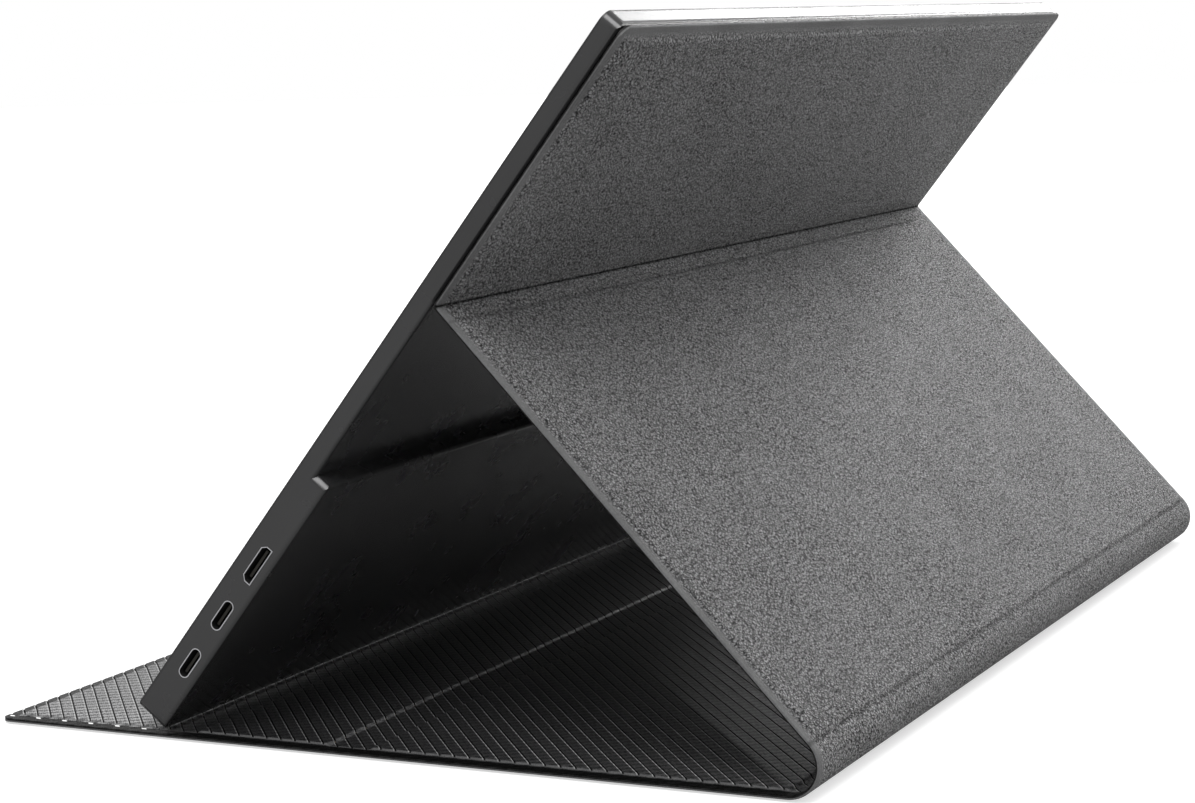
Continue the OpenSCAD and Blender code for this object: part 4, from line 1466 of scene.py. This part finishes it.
@dataclass
class TrimmedSolids:
    """Merged copies of solids whose sharp outer edges are broken."""

    layout: CoverLayout
    nodes: dict[str, bpy.types.Object]
    edge_break: float = 0.16 * MM
    ring_break: float = 0.08 * MM
    step_corner: float = 2.5 * MM
    ring: float = 0.3 * MM
    # Depth into the shell past which its inside gets the black painted shade.
    painted_shade_start: float = 0.4 * MM
    tongue: float = 0.7 * MM
    flat_angle: float = math.radians(0.2)
    sharp_angle: float = math.radians(40)
    shade_angle: float = 30.0
    bevel_steps: int = 2
    corner_match: float = 0.02 * MM

    def merged(self, node: str) -> bmesh.types.BMesh:
        """A merged copy of a node's mesh with its flat faces whole.

        Args:
            node: Name of the node.

        Returns:
            The copy as a bmesh.
        """
        bm = bmesh.new()
        bm.from_mesh(self.nodes[node].data)
        bmesh.ops.remove_doubles(bm, verts=bm.verts, dist=WELD)
        bmesh.ops.dissolve_limit(bm, angle_limit=self.flat_angle, verts=bm.verts, edges=bm.edges)
        return bm

    def break_edges(self, bm: bmesh.types.BMesh, width: float, sides: tuple[float, ...]) -> None:
        """Breaks the sharp edges that lie in the monitor's side planes.

        Args:
            bm: The copy.
            width: Width of the break.
            sides: X of each side plane.
        """
        sharp = [
            edge
            for edge in bm.edges
            if len(edge.link_faces) == 2
            and edge.calc_face_angle(0.0) > self.sharp_angle
            and any(all(abs(vert.co.x - x) < 2 * WELD for vert in edge.verts) for x in sides)
        ]
        bmesh.ops.bevel(
            bm,
            geom=sharp,
            offset=width,
            offset_type="OFFSET",
            segments=self.bevel_steps,
            profile=0.5,
            affect="EDGES",
            clamp_overlap=True,
        )

    def place(
        self,
        bm: bmesh.types.BMesh,
        name: str,
        node: str,
        slot: str,
        materials: list[bpy.types.Material],
    ) -> bpy.types.Object:
        """Puts a copy in its node's stead.

        Args:
            bm: The finished copy.
            name: Name of the piece.
            node: Node that it stands for.
            slot: Not used.
            materials: Its materials, by face index.

        Returns:
            The piece.
        """
        made = finish_piece(bm, name, materials[0], smooth=self.shade_angle)
        for material in materials[1:]:
            made.data.materials.append(material)
        flat = made.modifiers.new("even_normals", "WEIGHTED_NORMAL")
        flat.keep_sharp = True
        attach(made, "screen")
        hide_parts(node)
        return made

    def flatten_step_corners(self, bm: bmesh.types.BMesh) -> None:
        """Gives the thick part's two round upper corners one flat facet each.

        Args:
            bm: The housing's copy.
        """
        m = self.layout.monitor
        stand = self.layout.monitor_matrix()
        lying = stand.inverted()
        for vert in bm.verts:
            spot = lying @ vert.co
            dx = abs(spot.x) - m.width / 2 + self.step_corner
            dy = spot.y - m.bay_height + self.step_corner
            if min(dx, dy) < WELD or not m.slim - m.thick - WELD < spot.z < m.edge_radius + WELD:
                continue
            fall = max(m.slim - m.thick + m.edge_radius - spot.z, 0.0)
            run = math.sqrt(max(m.edge_radius**2 - fall**2, 0.0))
            reach = self.step_corner - m.edge_radius + run
            if abs(math.hypot(dx, dy) - reach) < self.corner_match:
                share = min(reach / max(dx, dy), math.sqrt(2.0) * reach / (dx + dy))
                x = math.copysign(m.width / 2 - self.step_corner + dx * share, spot.x)
                vert.co = stand @ Vector((x, m.bay_height - self.step_corner + dy * share, spot.z))

    def housing(self) -> bpy.types.Object:
        """Makes the rear housing, with broken edges round its openings.

        Returns:
            The piece.
        """
        bm = self.merged("rear_housing")
        half = self.layout.monitor.width / 2
        self.flatten_step_corners(bm)
        self.break_edges(bm, self.edge_break, (-half, half))
        finish = MouldedFinish(
            "housing_plastic",
            colour=(0.022, 0.022, 0.0225),
            roughness=0.25,
            depth=0.001 * MM,
            texture=2.0,
            specular=0.42,
        )
        return self.place(bm, "housing_shell", "rear_housing", "housing", [finish.material()])

    def socket(self, socket: Socket, materials: list[bpy.types.Material]) -> bpy.types.Object:
        """Makes one socket: a bright ring, painted shade on the shell's inside behind it, and a tongue.

        Args:
            socket: Which socket.
            materials: Finishes of the ring, the painted shade inside the shell and the tongue.

        Returns:
            The piece.
        """
        bm = self.merged(socket.node)
        half = self.layout.monitor.width / 2
        self.break_edges(bm, self.ring_break, (half,))
        lying = self.layout.monitor_matrix().inverted()
        middle = Vector((0.0, socket.y, self.layout.monitor.slim - self.layout.monitor.port_depth))
        for face in bm.faces:
            centre = lying @ face.calc_center_median() - middle
            in_y = abs(centre.y) < (socket.width - self.ring) / 2
            in_z = abs(centre.z) < (socket.height - self.ring) / 2
            # Inside the shell: the tongue's middle gets the tongue, the rest black painted shade.
            if centre.x < half - self.painted_shade_start and in_y and in_z:
                face.material_index = 2 if abs(centre.z) < self.tongue / 2 + WELD else 1
        name = socket.node.replace("socket", "port")
        return self.place(bm, name, socket.node, "port_metal", materials)

    def dress(self) -> list[bpy.types.Object]:
        """Makes the housing and the three sockets.

        Returns:
            The four pieces.
        """
        ring = MetalFinish("port_plating", (0.50, 0.50, 0.52), 0.3).material()
        # Black painted shade for the shell's inside.
        painted_shade = MouldedFinish("port_painted_shade", (0.004, 0.004, 0.004), 0.6, texture=9.0).material()
        finishes = [ring, painted_shade, TongueFinish(self.layout).material()]
        sockets = (
            Socket("usb_c_socket_lower", 20.4 * MM, 9.3 * MM, 3.3 * MM),
            Socket("usb_c_socket_upper", 37.0 * MM, 9.3 * MM, 3.3 * MM),
            Socket("mini_hdmi_socket", 54.5 * MM, 11.7 * MM, 3.2 * MM),
        )
        return [self.housing()] + [self.socket(socket, finishes) for socket in sockets]


# ---------------------------------------------------------------- studio


@dataclass(frozen=True)
class Lamp:
    """One oblong lamp: which way and how far it hangs from the object, its size and its watts."""

    name: str
    direction: tuple[float, float, float]
    distance: float
    size: tuple[float, float]
    power: float


LAMPS = (
    Lamp("top_lamp", (-0.935, -0.12, 0.33), 2.2, (0.34, 0.5), 6.0),
    Lamp("overhead_lamp", (0.53, 0.26, 0.807), 1.56, (0.7, 0.7), 15.0),
    Lamp("strut_lamp", (-0.962, 0.14, 0.23), 2.2, (0.7, 0.22), 7.0),
    Lamp("spine_lamp", (-0.9, 0.43, 0.06), 2.2, (0.6, 0.12), 2.6),
)


@dataclass
class Studio:
    """Floor, lights, world and camera."""

    azimuth: float = math.radians(115.171)
    elevation: float = math.radians(7.537)
    roll: float = math.radians(-1.243)
    lens: float = 87.766
    sensor: float = 36.0
    distance: float = 626.178 * MM
    target: tuple[float, float, float] = (230.471 * MM, 85.637 * MM, 99.989 * MM)
    clip: tuple[float, float] = (0.01, 50.0)
    sky: float = 1.0
    floor_radius: float = 6.0
    floor_glow: float = 0.58
    floor_tone: float = 0.52
    glow_reach: tuple[float, float] = (150.0, 900.0)
    aim: tuple[float, float, float] = (0.0, 0.02, 0.08)

    def camera(self) -> None:
        """Places the camera."""
        a, e = self.azimuth, self.elevation
        back = Vector((math.sin(a) * math.cos(e), -math.cos(a) * math.cos(e), math.sin(e)))
        right = Vector((math.cos(a), math.sin(a), 0.0))
        up = back.cross(right)
        turn = Matrix((right, up, back)).transposed().to_4x4()
        data = bpy.data.cameras.new("camera")
        data.lens = self.lens
        data.sensor_width = self.sensor
        data.sensor_fit = "HORIZONTAL"
        data.clip_start, data.clip_end = self.clip
        made = bpy.data.objects.new("camera", data)
        bpy.context.scene.collection.objects.link(made)
        place = Matrix.Translation(Vector(self.target) + back * self.distance)
        made.matrix_world = place @ turn @ Matrix.Rotation(self.roll, 4, "Z")
        bpy.context.scene.camera = made

    def floor(self) -> None:
        """Lays the pale floor, which the camera sees as white further out."""
        g = Graph("studio_floor")
        place = g.object_mm()
        pale, paler = (self.floor_tone,) * 3, (self.floor_tone * 1.05,) * 3
        level = g.vector("MULTIPLY", place, (1.0, 1.0, 0.0))
        away = g.node("VectorMath", {0: level}, operation="LENGTH").outputs["Value"]
        seen = g.node("LightPath").outputs["Is Camera Ray"]
        glow = g.spread(away, *self.glow_reach, self.floor_glow, 1.0)
        finish = g.shade(
            {
                "Base Color": g.blend(g.noise(place, 0.002), pale, paler),
                "Roughness": 0.9,
                "Emission Color": (1.0, 1.0, 1.0, 1.0),
                "Emission Strength": g.maths("MULTIPLY", seen, glow),
            }
        )
        bm = bmesh.new()
        bmesh.ops.create_circle(bm, cap_ends=True, segments=96, radius=self.floor_radius)
        made = finish_piece(bm, "floor", finish, smooth=None)

    def world(self) -> None:
        """Fills the surroundings with white that the camera and glossy faces see."""
        world = bpy.data.worlds.new("studio_world")
        bpy.context.scene.world = world
        world.use_nodes = True
        g = Nodes(world.node_tree)
        path = g.node("LightPath").outputs
        rays = [path[f"Is {kind} Ray"] for kind in ("Camera", "Glossy", "Transmission")]
        strength = g.spread(g.maths("MAXIMUM", *rays), 0.0, 1.0, self.sky, 1.0)
        white = (1.0, 1.0, 1.0, 1.0)
        background = g.node("Background", {"Color": white, "Strength": strength})
        g.node("OutputWorld", {0: background.outputs[0]})

    def lamp(self, lamp: Lamp) -> None:
        """Hangs one lamp so that it points at the object.

        Args:
            lamp: Which lamp.
        """
        data = bpy.data.lights.new(lamp.name, "AREA")
        data.shape = "RECTANGLE"
        data.size, data.size_y = lamp.size
        data.energy = lamp.power
        made = bpy.data.objects.new(lamp.name, data)
        bpy.context.scene.collection.objects.link(made)
        aim = Vector(self.aim)
        place = aim + Vector(lamp.direction) * lamp.distance
        turn = (place - aim).to_track_quat("Z", "Y").to_matrix().to_4x4()
        made.matrix_world = Matrix.Translation(place) @ turn

    def set_up(self) -> None:
        """Builds the whole studio."""
        self.camera()
        self.floor()
        self.world()
        for lamp in LAMPS:
            self.lamp(lamp)
        bpy.context.scene.view_settings.view_transform = "Standard"


def main() -> None:
    """Dresses the solids and sets up the studio."""
    logging.basicConfig(level=logging.INFO, format="%(name)s: %(message)s")
    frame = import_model()
    layout = CoverLayout()
    Studio().set_up()
    for name in SolidPieces(layout).dress(frame["nodes"]):
        LOG.info("dressed solid %s", name)
    for piece in TrimmedSolids(layout, frame["nodes"]).dress() + CoverSkins(layout).dress():
        LOG.info("made %s, %d faces", piece.name, len(piece.data.polygons))


if __name__ == "__main__":
    main()
